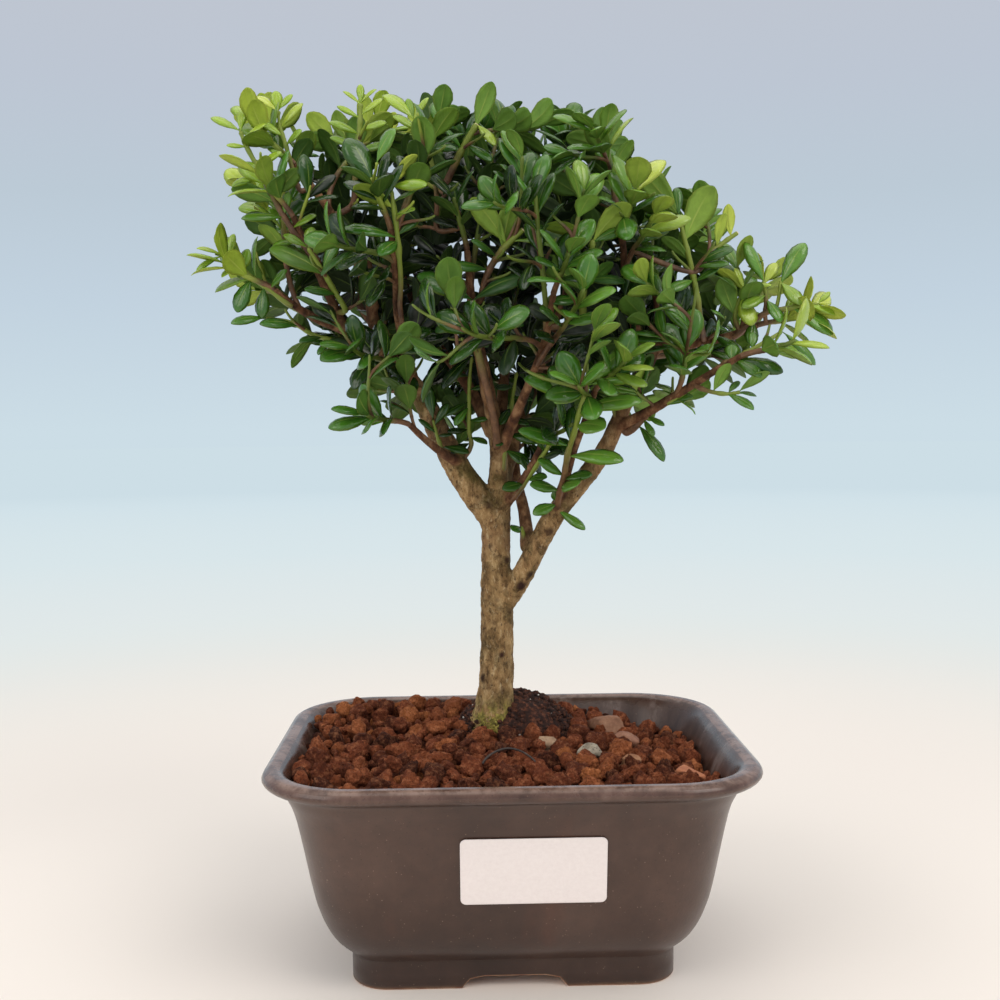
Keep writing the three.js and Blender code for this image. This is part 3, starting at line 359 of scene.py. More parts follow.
        (84, -38, -7, 272, 40, 70, 90), (82, -52, -6, 270, 40, 70, 90), (65, -54, -8, 265, 46, 80, 90),
        (68, -37, -9, 264, 46, 90, 80), (50, -54, -8, 260, 42, 90, 80), (47, -37, -9, 258, 44, 90, 60),
    ]),
    "top_middle": ([
        (-21.1, -4, 231.4, 1), (-21.3, -7, 238.7, 0.95), (-21.5, -8, 243.2, 0.9), (-22.6, -9, 250.7, 0.85),
        (-25, -9, 257.8, 0.8), (-28.1, -8, 264.8, 0.6),
    ], [
        (99, -37, -7, 274, 42, 80, 90), (99, -24, -8, 272, 40, 50, 100), (100, -30, -7, 272, 40, 60, 95),
        (86, -34, -11, 266, 42, 90, 85), (80, -21, -10, 267, 36, -50, 80), (88, -19, -8, 265, 40, 80, 10),
        (73, -15, -12, 256, 42, 90, 10),
    ]),
    "inner_left": ([
        (-11.4, 13, 162.6, 0.9), (-12, 11.5, 168, 0.85), (-11.9, 10, 174, 0.8), (-11.8, 9, 180.5, 0.75),
        (-11.4, 8, 187.1, 0.65), (-10.7, 7, 192.2, 0.5),
    ], [
        (100, -21, 5, 182, 36, 80, 0), (95, -15, 5, 193, 40, 70, 5), (75, -18, 6, 187, 42, 60, 0),
        (62, -5, 5, 183, 42, 80, 0), (50, -20, 6, 173, 36, 80, 0), (45, -17, 7, 170, 40, 70, 40),
        (30, -6, 7, 172, 42, 70, 0), (20, -19, 8, 168, 42, 70, 0), (12, -6, 8, 164, 44, 70, 0),
        (5, -18, 8, 161, 42, 60, 0),
    ]),
    "inner_left_2": ([
        (-19.4, 9.5, 158.8, 0.8), (-21.3, 8.5, 162.8, 0.75), (-22.9, 8, 167.5, 0.65),
        (-23.8, 7.5, 171.4, 0.5),
    ], [
        (100, -25, 7, 183, 36, 70, 0), (80, -19, 6, 177, 40, 50, 0), (55, -18, 5, 167, 42, 80, 0),
        (30, -12, 6, 161, 40, 80, 0), (60, -28, 6, 172, 40, 60, 5),
    ]),
    "inner_middle": ([
        (-0.7, 13, 154.5, 0.9), (-0.1, 11, 161.2, 0.85), (1, 10, 167.9, 0.8), (2, 10, 175.2, 0.75),
        (3.1, 10, 181.7, 0.65), (4.1, 10, 187, 0.5),
    ], [
        (100, -1, 8, 194, 44, 70, 0), (95, 11, 8, 189, 44, 70, 0), (82, -3, 7, 182, 44, 80, 0),
        (70, 9, 7, 178, 44, 70, 0), (60, -2, 6, 170, 56, 90, 0), (50, 8, 7, 170, 44, 70, 0),
        (35, 12, 7, 165, 50, 80, 5), (30, -3, 7, 163, 44, 60, 0), (20, 8, 8, 157, 50, 80, 0),
    ]),
}


CUT_SHOOTS = ("middle_stub", "top_stub", "middle_shoots", "right_upright_stub")


def unit(v):
    return v / np.linalg.norm(v)


def seeded(seed):
    """The CAD source's draws between 0 and 1, so that both grow the same tree."""
    state = [seed]

    def draw():
        state[0] = (state[0] + 0x6D2B79F5) & 0xFFFFFFFF
        s = state[0]
        t = ((s ^ (s >> 15)) * (s | 1)) & 0xFFFFFFFF
        t = ((t + (((t ^ (t >> 7)) * (t | 61)) & 0xFFFFFFFF)) & 0xFFFFFFFF) ^ t
        return (t ^ (t >> 14)) / 4294967296

    return draw


def smooth(low, high, value):
    t = np.clip((value - low) / (high - low), 0, 1)
    return t * t * (3 - 2 * t)


def ground_height(x, y):
    heap = 2.4 * smooth(10, -20, x) * smooth(8, 45, y)
    fall = 6.6 * smooth(14, 62, x) * (1 + smooth(-48, 0, y)) / 2
    collar = 2.2 * np.exp(-(((x + 4) ** 2 + (y - 15) ** 2) / 14 ** 2) / 2)
    return 63.4 + heap - fall + collar


# Meshes


def add_object(name, data):
    obj = bpy.data.objects.new(name, data)
    bpy.context.scene.collection.objects.link(obj)
    return obj


def set_values(mesh, name, values):
    """One value a point, for the materials to read."""
    mesh.attributes.new(name, "FLOAT", "POINT").data.foreach_set("value", values.astype(np.float32))


class Shape:
    """Points, faces and per-point values of one piece, gathered part by part."""

    def __init__(self):
        self.points = []
        self.faces = []
        self.slots = []
        self.values = {}
        self.count = 0

    def add(self, points, faces, slot=0, **values):
        points = np.asarray(points, float).reshape(-1, 3)
        for name, value in values.items():
            self.values.setdefault(name, []).append(np.broadcast_to(np.asarray(value, float), len(points)))
        self.points.append(points)
        for group in faces:
            group = np.asarray(group) + self.count
            self.faces.extend(group.tolist())
            self.slots.extend([slot] * len(group))
        self.count += len(points)

    def build(self, name, materials):
        mesh = bpy.data.meshes.new(name)
        points = np.clip(np.concatenate(self.points), BOX_LOW, BOX_HIGH) * MM + ORIGIN
        mesh.from_pydata(points.tolist(), [], self.faces)
        for value_name, parts in self.values.items():
            set_values(mesh, value_name, np.concatenate(parts))
        for m in materials:
            mesh.materials.append(m)
        mesh.polygons.foreach_set("material_index", self.slots)
        mesh.polygons.foreach_set("use_smooth", [True] * len(mesh.polygons))
        mesh.validate()
        mesh.update()
        return add_object(name, mesh)


def ring_faces(rings, count):
    """Quads between neighbouring closed rings of equal count."""
    faces = []
    for first in range(0, (rings - 1) * count, count):
        for k in range(count):
            a, b = first + k, first + (k + 1) % count
            faces.append([a, b, b + count, a + count])
    return faces


def cap(first, count, way=1):
    """One face over a ring of points, wound the other way where way is -1."""
    return [list(range(first, first + count))[::way]]


def tube(path, radii, sides, start_cap=False):
    """A round tube along a path, closed at its end. Returns points and face groups."""
    path = np.asarray(path, float)
    ahead = np.gradient(path, axis=0)
    turn = 2 * math.pi * np.arange(sides) / sides
    side = None
    rings = []
    for k, centre in enumerate(path):
        axis = unit(ahead[k])
        if side is None:
            side = np.array([1.0, 0, 0]) if abs(axis[2]) > 0.9 else UP
        side = unit(side - axis * side.dot(axis))
        across = np.cross(axis, side)
        rings.append(centre + radii[k] * (np.outer(np.cos(turn), side) + np.outer(np.sin(turn), across)))
    faces = [ring_faces(len(path), sides)]
    if start_cap:
        faces.append(cap(0, sides, -1))
    faces.append(cap((len(path) - 1) * sides, sides))
    return np.concatenate(rings), faces


def icosphere(level):
    bm = bmesh.new()
    bmesh.ops.create_icosphere(bm, subdivisions=level, radius=1)
    points = np.array([v.co for v in bm.verts])
    faces = np.array([[v.index for v in f.verts] for f in bm.faces])
    bm.free()
    return points, faces


def noise_at(points, scale, seed=0.0, stretch=(1, 1, 1)):
    """Smooth noise about 0 at each point, one feature about every 1/scale millimetres."""
    shift = Vector((seed * 17.3, seed * 5.1, seed * 9.7))
    scaled = points * (np.array(stretch) * scale)
    return np.array([noise.noise(Vector(p) + shift) for p in scaled])


def curve_through(points, steps):
    """A smooth curve through the points, the same as the CAD source's."""
    points = np.asarray(points, float)
    last = len(points) - 1
    curve = []
    for k in range(last):
        a, b, c, d = points[max(k - 1, 0)], points[k], points[k + 1], points[min(k + 2, last)]
        for step in range(steps):
            t = step / steps
            bend = (2 * a - 5 * b + 4 * c - d) * t * t + (3 * b - a - 3 * c + d) * t ** 3
            curve.append((2 * b + (c - a) * t + bend) / 2)
    curve.append(points[last])
    return np.array(curve)


# The tree's growth


def wood_samples():
    samples = []
    for name, points in LIMBS.items():
        curve = curve_through(points, 4)
        last = len(curve) - 1
        for k, point in enumerate(curve):
            axis = unit((curve[min(k + 1, last)] - curve[max(k - 1, 0)])[:3])
            if point[2] > LOWEST_SHOOT:
                sample = {"limb": name, "at": point[:3], "radius": point[3], "axis": axis, "share": k / last}
                samples.append(sample)
    return samples


def reach_at(table, angle):
    """The value at an angle in a table of reaches, which go round in even steps."""
    place = (angle / (2 * math.pi)) % 1 * len(table)
    k = int(place) % len(table)
    return table[k] + (table[(k + 1) % len(table)] - table[k]) * (place - int(place))


def twig_curve(start, axis, tip):
    reach = np.linalg.norm(tip - start)
    to_tip = (tip - start) / reach
    leave = unit(axis * 0.7 + to_tip) * reach
    arrive = unit(to_tip + UP * 0.35) * reach
    t = np.arange(TWIG_STEPS + 1) / TWIG_STEPS
    to_end = 3 * t * t - 2 * t ** 3
    weights = [1 - to_end, t ** 3 - 2 * t * t + t, to_end, t ** 3 - t * t]
    return sum(np.outer(w, v) for w, v in zip(weights, [start, leave, tip, arrive]))


def is_lime(tip):
    return (tip[0] < -22 and tip[2] > 232) or tip[0] < -78 or (tip[0] > 80 and tip[2] > 203)


def canopy_targets(count, share, lowest=-0.62, phase=0.0):
    targets = []
    for k in range(count):
        depth = 1 - (2 * (k + 0.5)) / count
        turn = GOLDEN_ANGLE * k + phase
        around = math.sqrt(1 - depth * depth)
        reach = reach_at(CANOPY_REACH, turn) * around
        offset = np.array([reach * math.cos(turn), CANOPY_HALF_DEPTH * depth, reach * math.sin(turn)])
        if around * math.sin(turn) > lowest:
            targets.append(CANOPY_CORE + offset * share)
    return targets


def grow_twigs(wood, twigs, springs, targets, lengths, clearance, free_steps=(1, 4, 6), tried=24):
    """Each target is reached for from the nearest spring that leaves a clear way."""
    wood_at = np.array([s["at"] for s in wood])
    wood_radius = np.array([s["radius"] for s in wood])
    wood_limb = np.array([s["limb"] for s in wood])
    spring_at = np.array([s["at"] for s in springs])
    spring_axis = np.array([s["axis"] for s in springs])
    for target in targets:
        way = target - spring_at
        distance = np.linalg.norm(way, axis=1)
        bend = 1 - np.einsum("ij,ij->i", way / distance[:, None], spring_axis)
        cost = distance + BEND_COST * bend + DROP_COST * (way[:, 2] < 0)
        for k in np.argsort(cost, kind="stable")[:tried]:
            spring = springs[k]
            reached = min(lengths[1], max(lengths[0], distance[k]))
            curve = twig_curve(spring["at"], spring["axis"], spring["at"] + way[k] / distance[k] * reached)
            others = np.concatenate([t["curve"][1:] for t in twigs])
            gaps = np.linalg.norm(curve[free_steps[0]:, None] - others[None], axis=2)
            if gaps.min() <= clearance:
                continue
            gaps = np.linalg.norm(curve[free_steps[1]:, None] - wood_at[None], axis=2)
            clear = gaps - wood_radius - WOOD_CLEARANCE > 0
            own = np.arange(free_steps[1], TWIG_STEPS + 1)[:, None] < free_steps[2]
            if not (clear | (own & (wood_limb == spring["limb"]))).all():
                continue
            twigs.append({"limb": spring["limb"], "curve": curve, "piece": spring.get("piece")})
            break


def across_of(axis):
    """A direction square to the axis."""
    return unit(np.cross(axis, [1.0, 0, 0] if abs(axis[2]) > 0.9 else UP))


def on_leaf(leaf, share):
    """The point on a leaf's midline at a share of its length."""
    return leaf["base"] + leaf["along"] * leaf["size"] * share


def leaf_at(curve, share, turn, size, lean):
    """A leaf on a twig: the share along it, and the turn round it."""
    place = share * TWIG_STEPS
    k = min(int(place), TWIG_STEPS - 1)
    axis = unit(curve[k + 1] - curve[k])
    side = across_of(axis)
    radial = side * math.cos(turn) + np.cross(axis, side) * math.sin(turn)
    spread = 1.18 - 0.62 * share + 0.25 * (lean - 0.5)
    along = unit(axis * math.cos(spread) + radial * math.sin(spread) + UP * 0.22)
    across = unit(np.cross(axis + UP * 0.35, along))
    base = curve[k] * (1 - (place - k)) + curve[k + 1] * (place - k)
    return {"base": base, "along": along, "across": across, "normal": np.cross(along, across), "size": size}


def leaf_axes(leaf):
    return np.array([leaf["along"], leaf["across"], leaf["normal"]])


def leaf_box(leaf, start, margin):
    """A box round the leaf from a share of its length on: its centre, axes and half sides."""
    depth = 0.1 * leaf["size"] + 1.3
    to_centre = leaf["along"] * (leaf["size"] * (1 + start) / 2) + leaf["normal"] * (1.3 - depth / 2)
    half = [leaf["size"] * (1 - start) / 2, leaf["size"] * LEAF_ROOM, depth / 2]
    return leaf["base"] + to_centre, leaf_axes(leaf), np.array(half) + margin


def stem_box(start, end, radius):
    axis = unit(end - start)
    side = across_of(axis)
    half = [np.linalg.norm(end - start) / 2 + 0.3, radius, radius]
    return (start + end) / 2, np.array([axis, side, np.cross(axis, side)]), np.array(half)


def all_apart(box, centres, axes, halves):
    """Whether one box is apart from many at any turn, by their separating axes."""
    if not len(centres):
        return True
    centre, own, half = box
    between = centres - centre
    crossed = np.cross(own[None, :, None, :], axes[:, None, :, :]).reshape(len(centres), 9, 3)
    tried = np.concatenate([np.broadcast_to(own, axes.shape), axes, crossed], axis=1)
    reach = np.abs(tried @ own.T) @ half
    reach += (np.abs(np.einsum("nij,nkj->nik", tried, axes)) * halves[:, None, :]).sum(-1)
    gap = np.abs(np.einsum("nij,nj->ni", tried, between))
    return bool((gap > reach).any(axis=1).all())


class Boxes:
    """A growing store of boxes with an owner each."""

    def __init__(self, room=6000):
        self.centre = np.zeros((room, 3))
        self.axes = np.zeros((room, 3, 3))
        self.half = np.zeros((room, 3))
        self.owner = np.zeros(room, int)
        self.reach = np.zeros(room)
        self.count = 0

    def add(self, box, owner, reach):
        k = self.count
        self.centre[k], self.axes[k], self.half[k] = box
        self.owner[k], self.reach[k] = owner, reach
        self.count += 1

    def clear(self, box, picked):
        return all_apart(box, self.centre[picked], self.axes[picked], self.half[picked])

    def near(self, centre, reach):
        n = self.count
        return np.nonzero(np.linalg.norm(self.centre[:n] - centre, axis=1) < reach + self.reach[:n])[0]


class Crown:
    """All leaves and stems placed so far."""

    def __init__(self):
        self.whole, self.outer, self.stems = Boxes(), Boxes(), Boxes()
        for points in LIMBS.values():
            for a, b in zip(np.array(points), np.array(points)[1:]):
                box = stem_box(a[:3], b[:3], max(a[3], b[3]) + 0.4)
                self.stems.add(box, -1, box[2][0] + box[2][1])

    def add_stem(self, curve, owner, radius=1.35):
        for k in range(0, TWIG_STEPS, 2):
            box = stem_box(curve[k], curve[k + 2], radius)
            self.stems.add(box, owner, box[2][0] + box[2][1])

    def place(self, leaf, owner, whole, outer):
        """Adds the leaf if it is clear of everything else."""
        whole_box, outer_box = leaf_box(leaf, *whole), leaf_box(leaf, *outer)
        near = self.outer.near(whole_box[0], leaf["size"])
        own = self.outer.owner[near] == owner
        if not self.outer.clear(outer_box, near[own]) or not self.whole.clear(whole_box, near[~own]):
            return False
        stems = self.stems.near(whole_box[0], leaf["size"])
        if not self.stems.clear(whole_box, stems[self.stems.owner[stems] != owner]):
            return False
        self.whole.add(whole_box, owner, leaf["size"])
        self.outer.add(outer_box, owner, leaf["size"])
        return True


def grow_leaves(
    crown, twigs, first_owner, draw, sizes, spacing, fewest, first_leaf, whole, outer, bounded=False,
):
    """Leaves in turn round each twig, each where it is clear of the rest."""
    for number, twig in enumerate(twigs, first_owner):
        curve = twig["curve"]
        leafy_length = np.linalg.norm(curve[-1] - curve[0]) * (1 - first_leaf)
        count = max(fewest, math.floor(leafy_length / spacing + 0.5))
        phase = draw() * 2 * math.pi
        twig["leaves"] = []
        for k in range(count):
            share = first_leaf + (1 - first_leaf) * (k + 0.6) / count
            size = (sizes[0] + (sizes[1] - sizes[0]) * draw()) * (0.82 if share > 0.9 else 1)
            lean = draw()
            for attempt in range(12):
                nudge = attempt * 0.7 * (1 if attempt % 2 == 0 else -1)
                leaf = leaf_at(curve, share, phase + GOLDEN_ANGLE * k + nudge, size, lean)
                if bounded and not may_stand(leaf):
                    continue
                if crown.place(leaf, number, whole, outer):
                    leaf["share"] = share
                    twig["leaves"].append(leaf)
                    break


def in_box(leaf):
    tip = on_leaf(leaf, 1)
    side = leaf["across"] * leaf["size"] * LEAF_ROOM
    corners = np.array([tip + side, tip - side, tip + leaf["normal"], tip - leaf["normal"]])
    return (corners > BOX_LOW + BOX_MARGIN).all() and (corners < BOX_HIGH - BOX_MARGIN).all()


def seen_at(point):
    """Where the camera sees a point, as x and z on the plane y = 0."""
    return (CAMERA_AT + (point - CAMERA_AT) * (CAMERA_AT[1] / (CAMERA_AT[1] - point[1])))[[0, 2]]


def seen_share(point):
    """Where a point stands in the canopy as the camera sees it: 0 in the middle, 1 on the outline."""
    away = seen_at(point) - SEEN_CORE
    return np.hypot(*away) / reach_at(SEEN_REACH, math.atan2(away[1], away[0]))


def depth_share(point):
    """How far out a point is in the whole canopy: 0 in the middle and about 1 at its skin."""
    away = (point[1] - CANOPY_CORE[1]) / CANOPY_HALF_DEPTH
    return math.hypot(away, min(seen_share(point), 1.2))


def may_stand(leaf):
    """Whether an added leaf keeps to the box and to the outline, and leaves gaps and named shoots in view."""
    tip, belly = on_leaf(leaf, 1), on_leaf(leaf, 0.65)
    side = leaf["across"] * leaf["size"] * LEAF_ROOM
    if not in_box(leaf) or any(seen_share(p) > 1.0 for p in (tip, belly + side, belly - side)):
        return False
    for point in (tip, belly, leaf["base"]):
        seen = seen_at(point)
        if (np.hypot(*(SEEN_GAPS[:, :2] - seen).T) < SEEN_GAPS[:, 2] + GAP_MARGIN).any():
            return False
        in_the_way = SHOWN[:, 1] > point[1] - 1
        if (np.hypot(*(SHOWN[in_the_way][:, [0, 2]] - seen).T) < SHOWN_MARGIN).any():
            return False
    return True


WOOD = wood_samples()
TWIGS = []
for limb_name, limb in LIMBS.items():
    if limb_name != "trunk":
        end = np.array(limb[-1][:3])
        limb_axis = unit(end - np.array(limb[-2][:3]))
        heading = unit(limb_axis + unit(end - CANOPY_CORE) * 0.5)
        TWIGS.append({"limb": limb_name, "curve": twig_curve(end, limb_axis, end + heading * 17)})
SPRINGS = [s for s in WOOD if s["limb"] != "trunk" and 0.25 < s["share"] < 0.9]
grow_twigs(WOOD, TWIGS, SPRINGS, canopy_targets(35, 0.86), (20, 46), 3.2)
CROWN = Crown()
for number, twig in enumerate(TWIGS):
    CROWN.add_stem(twig["curve"], number)
grow_leaves(CROWN, TWIGS, 0, seeded(2026), (12.5, 15.5), 2.3, 9, 0.3, (0.08, 0.15), (0.4, 0.1))
CAD_TWIG_COUNT = len(TWIGS)
for number, twig in enumerate(TWIGS):
    twig["lime"] = is_lime(twig["curve"][-1])
    twig["piece"] = number
    twig["radii"] = (0.95, 0.6)


def nearest_wood(point):
    """The nearest point of the wood or of a twig, for a shoot to start from."""
    starts = [s["at"] for s in WOOD] + [p for t in TWIGS[:CAD_TWIG_COUNT] for p in t["curve"][1:9]]
    return min(starts, key=lambda p: np.linalg.norm(p - point))


def named_shoot(name, stem, leaves, number):
    """A shoot of the table, led on to the nearest wood."""
    path = np.array(stem)
    start = nearest_wood(path[0, :3])
    fine = curve_through(path, TWIG_STEPS)
    lead = np.array([*start, path[0, 3]])
    whole = curve_through(np.concatenate([[lead], path]), TWIG_STEPS)
    picked = np.linspace(0, len(whole) - 1, TWIG_STEPS + 1).round().astype(int)
    twig = {"limb": name, "curve": whole[picked, :3], "path": whole, "piece": name, "leaves": []}
    twig.update(lime=False, cut=name in CUT_SHOOTS)
    for place, x, y, z, *rest in leaves:
        share, width, facing, young = (value / 100 for value in (place, *rest))
        base, tip = fine[round(share * (len(fine) - 1)), :3], np.array([x, y, z])
        size = np.linalg.norm(tip - base)
        along = (tip - base) / size
        normal = np.array([0.15 * math.sin(x + 2 * z), -0.8 * facing, 0.6])
        normal = unit(normal - along * along.dot(normal))
        leaf = {"base": base, "along": along, "across": np.cross(normal, along), "normal": normal}
        leaf.update(size=size, share=share, half=size * width / 2, young=young)
        CROWN.whole.add(leaf_box(leaf, 0.3, -0.35), number, size)
        CROWN.outer.add(leaf_box(leaf, 0.55, -0.3), number, size)
        twig["leaves"].append(leaf)
    CROWN.add_stem(twig["curve"], number, 1.1)
    return twig


for shoot_name, (stem, leaves) in NAMED_SHOOTS.items():
    TWIGS.append(named_shoot(shoot_name, stem, leaves, len(TWIGS)))

# What must stay in view: the named shoots' leaves and stems, as the camera sees them, with their own y
SHOWN = []
for twig in TWIGS[CAD_TWIG_COUNT:]:
    for point in [*(on_leaf(leaf, 0.6) for leaf in twig["leaves"]), *twig["curve"][3:]]:
        across, high = seen_at(point)
        SHOWN.append([across, point[1], high])
SHOWN = np.array(SHOWN)

# More leafy shoots between them, off the twigs and off the wood
ROUNDS = [
    canopy_targets(count, share, lowest, phase)
    for share, count, lowest, phase in (
        (0.93, 90, -0.5, 0.4), (0.78, 90, -0.62, 1.9), (0.6, 80, -0.7, 3.1), (0.42, 60, -0.7, 5.0),
    )
]
for targets in [*ROUNDS, list(FILL_TARGETS)]:
    springs = [dict(s, piece=None) for s in SPRINGS]
    for twig in TWIGS:
        curve = twig["curve"]
        for k in range(2, TWIG_STEPS, 2):
            spring = {"limb": "twig", "at": curve[k], "axis": unit(curve[k + 1] - curve[k - 1])}
            springs.append(dict(spring, piece=twig["piece"]))
    more = list(TWIGS)
    grow_twigs(WOOD, more, springs, targets, (10, 26), 1.6, (3, 4, 6), 40)
    added = [t for t in more[len(TWIGS):] if seen_share(t["curve"][-1]) < 0.95]
    for number, twig in enumerate(added, len(TWIGS)):
        twig["lime"] = is_lime(twig["curve"][-1])
        twig["radii"] = (0.6, 0.4)
        CROWN.add_stem(twig["curve"], number, 0.8)
    first_new = len(TWIGS)
    TWIGS.extend(added)
    draw = seeded(77 + len(targets))
    whole, outer = (0.32, -0.45), (0.55, -0.35)
    grow_leaves(CROWN, added, first_new, draw, (10.5, 14.5), 2.0, 8, 0.25, whole, outer, True)


# Materials. A colour is three screen values from 0 to 255, or four linear values where it is a factor


def srgb(colour):
    """Linear values with alpha for a colour in screen values. Sockets and linear values pass through."""
    if not isinstance(colour, tuple) or len(colour) == 4:
        return colour
    linear = [c / 255 / 12.92 if c <= 10 else ((c / 255 + 0.055) / 1.055) ** 2.4 for c in colour]
    return (*linear, 1)


def set_stops(ramp, stops):
    """Fills a colour ramp with stops of a position and a colour, given in their order."""
    for element, (position, colour) in zip(ramp.elements, (stops[0], stops[-1])):
        element.position = position
        element.color = srgb(colour)
    for position, colour in stops[1:-1]:
        ramp.elements.new(position).color = srgb(colour)


class Look:
    """A node material built up from textures in object coordinates."""

    def __init__(self, name):
        self.material = bpy.data.materials.new(name)
        self.material.use_nodes = True
        self.nodes = self.material.node_tree.nodes
        self.links = self.material.node_tree.links
        self.surface = self.nodes["Principled BSDF"]
        self.place = self.nodes.new("ShaderNodeTexCoord").outputs["Object"]

    def put(self, socket, value):
        if isinstance(value, bpy.types.NodeSocket):
            self.links.new(value, socket)
        else:
            socket.default_value = value

    def node(self, kind, values, out=0, **settings):
        made = self.nodes.new(kind)
        for key, value in settings.items():
            setattr(made, key, value)
        for key, value in values.items():
            self.put(made.inputs[key], value)
        return made.outputs[out]

    def set(self, **values):
        for key, value in values.items():
            self.put(self.surface.inputs[key.replace("_", " ")], value)

    def attribute(self, name):
        return self.node("ShaderNodeAttribute", {}, "Fac", attribute_name=name)

    def stretched(self, z, across=1):
        """Object coordinates; with z below 1 a texture is drawn out upwards."""
        if z == across == 1:
            return self.place
        return self.node("ShaderNodeMapping", {"Vector": self.place, "Scale": (across, across, z)})

    def noise(self, scale, detail, roughness, z=1, across=1):
        place = self.stretched(z, across)
        values = {"Vector": place, "Scale": scale, "Detail": detail, "Roughness": roughness}
        return self.node("ShaderNodeTexNoise", values, "Fac")

    def cells(self, scale, z=1):
        return self.node("ShaderNodeTexVoronoi", {"Vector": self.stretched(z), "Scale": scale}, "Distance")

    def math(self, operation, a, b=0.0, clamp=False):
        return self.node("ShaderNodeMath", {0: a, 1: b}, operation=operation, use_clamp=clamp)

    def plus(self, a, b, clamp=False):
        return self.math("ADD", a, b, clamp)

    def less(self, a, b):
        return self.math("SUBTRACT", a, b)

    def times(self, a, b):
        return self.math("MULTIPLY", a, b)

    def share(self, value, high):
        """How far the value is from 0 to high."""
        return self.node("ShaderNodeMapRange", {"Value": value, "From Min": 0.0, "From Max": high})

    def band(self, value, low, high):
        """0 below low and 1 above high, or the other way round where low is the larger."""
        values = {"Value": value, "From Min": low, "From Max": high}
        return self.node("ShaderNodeMapRange", values, interpolation_type="SMOOTHSTEP")

    def patches(self, low, high, *grain):
        """Patches where a noise passes a band."""
        return self.band(self.noise(*grain), low, high)

    def ramp(self, value, *stops):
        made = self.nodes.new("ShaderNodeValToRGB")
        self.links.new(value, made.inputs[0])
        set_stops(made.color_ramp, stops)
        return made.outputs[0]

    def mix(self, share, a, b, blend="MIX"):
        values = {"Fac": share, "Color1": srgb(a), "Color2": srgb(b)}
        return self.node("ShaderNodeMixRGB", values, blend_type=blend)

    def over(self, base, colour, share, strength):
        """The base with a colour laid over it by the share times the strength."""
        return self.mix(self.times(share, strength), base, colour)

    def mottled(self, base, value, *stops):
        """The base times the factors of a ramp."""
        return self.mix(1.0, base, self.ramp(value, *stops), "MULTIPLY")

    def height(self):
        return self.node("ShaderNodeSeparateXYZ", {"Vector": self.place}, "Z")

    def bump(self, height, strength, distance, under=None):
        values = {"Height": height, "Strength": strength, "Distance": distance}
        if under is not None:
            values["Normal"] = under
        return self.node("ShaderNodeBump", values)


def plain_look(name, grain, stops, roughness, relief=None, speckle=0.0):
    """A matt material: a ramp over noise, with speckles and a fine relief of noise where they are given."""
    look = Look(name)
    base = look.ramp(look.noise(*grain), *stops)
    if speckle:
        base = look.over(base, (70, 62, 56), look.band(look.cells(900), 0.3, 0.12), speckle)
    look.set(Base_Color=base, Roughness=roughness)
    if relief:
        fineness, strength, distance = relief
        look.set(Normal=look.bump(look.noise(*fineness), strength, distance))
    return look.material


def glaze_look():
    look = Look("glaze")
    inner, bare = look.attribute("inner"), look.attribute("bare")
    height = look.height()
    drift = look.plus(height, look.times(look.less(look.noise(38, 4, 0.6), 0.5), 0.02))
    body = look.ramp(
        look.share(drift, 0.068), (0.0, (42, 24, 17)), (0.2, (52, 33, 25)), (0.45, (63, 42, 32)),
        (0.86, (70, 48, 38)), (1.0, (84, 60, 50)),
    )
    patches = look.ramp(
        look.noise(26, 3, 0.6, 0.7),
        (0.34, (46, 29, 22)), (0.5, (67, 45, 35)), (0.68, (94, 70, 59)),
    )
    body = look.mix(0.42, body, patches)
    rusty = look.patches(0.54, 0.68, 34, 3, 0.55, 0.22)
    body = look.over(body, (90, 50, 34), rusty, 0.35)
    body = look.mottled(
        body, look.noise(210, 5, 0.7), (0.3, (0.86, 0.86, 0.87, 1)), (0.7, (1.12, 1.11, 1.1, 1)),
    )
    lip = look.band(height, 0.0625, 0.0665)
    lip_colour = look.ramp(
        look.noise(75, 6, 0.7, 0.4),
        (0.34, (60, 40, 32)), (0.5, (88, 63, 53)), (0.68, (118, 92, 81)),
    )
    body = look.over(body, lip_colour, lip, 0.85)
    # A pale patchy band along the lip's crest: worn glaze, and a painted highlight where the lip faces up
    worn_crest_and_highlight = look.times(look.band(height, 0.0664, 0.0679), look.patches(0.36, 0.6, 140, 4, 0.7))
    body = look.over(body, (172, 144, 130), worn_crest_and_highlight, 0.45)
    # Painted shade: a dark band just under the lip, on the outer wall
    painted_shade_under_lip = look.times(look.band(height, 0.0612, 0.0626), look.band(height, 0.0650, 0.0636))
    body = look.over(body, (44, 27, 20), painted_shade_under_lip, look.less(0.6, inner))
    # The inner wall's streaky glaze; its pale grey streaks are painted reflection
    streaks_and_reflection = look.ramp(
        look.noise(80, 6, 0.7, 0.16),
        (0.34, (50, 34, 28)), (0.52, (78, 58, 50)), (0.7, (134, 120, 114)),
    )
    body = look.over(body, streaks_and_reflection, inner, 0.9)
    few = look.patches(0.56, 0.66, 500, 1, 0.5)
    specks = look.times(look.band(look.cells(900), 0.22, 0.1), few)
    body = look.over(body, (140, 116, 98), specks, 0.55)
    body = look.over(body, (46, 32, 28), look.band(look.cells(620), 0.16, 0.06), 0.6)
    bare = look.band(bare, 0.4, 0.85)
    clay = look.ramp(look.noise(260, 4, 0.6), (0.3, (150, 94, 60)), (0.7, (196, 156, 122)))
    body = look.mix(bare, body, clay)
    rough = look.plus(0.22, look.times(look.noise(90, 4, 0.6), 0.26))
    rough = look.less(rough, look.times(lip, 0.1))
    rough = look.plus(rough, look.times(bare, 0.4), True)
    grain = look.bump(look.noise(1100, 3, 0.6), 0.10, 0.0004)
    waves = look.bump(look.noise(60, 2, 0.5), 0.25, 0.0012, grain)
    look.set(Base_Color=body, Roughness=rough, Normal=waves, Coat_Weight=0.22, Coat_Roughness=0.2)
    look.set(Specular_IOR_Level=0.42)
    return look.material


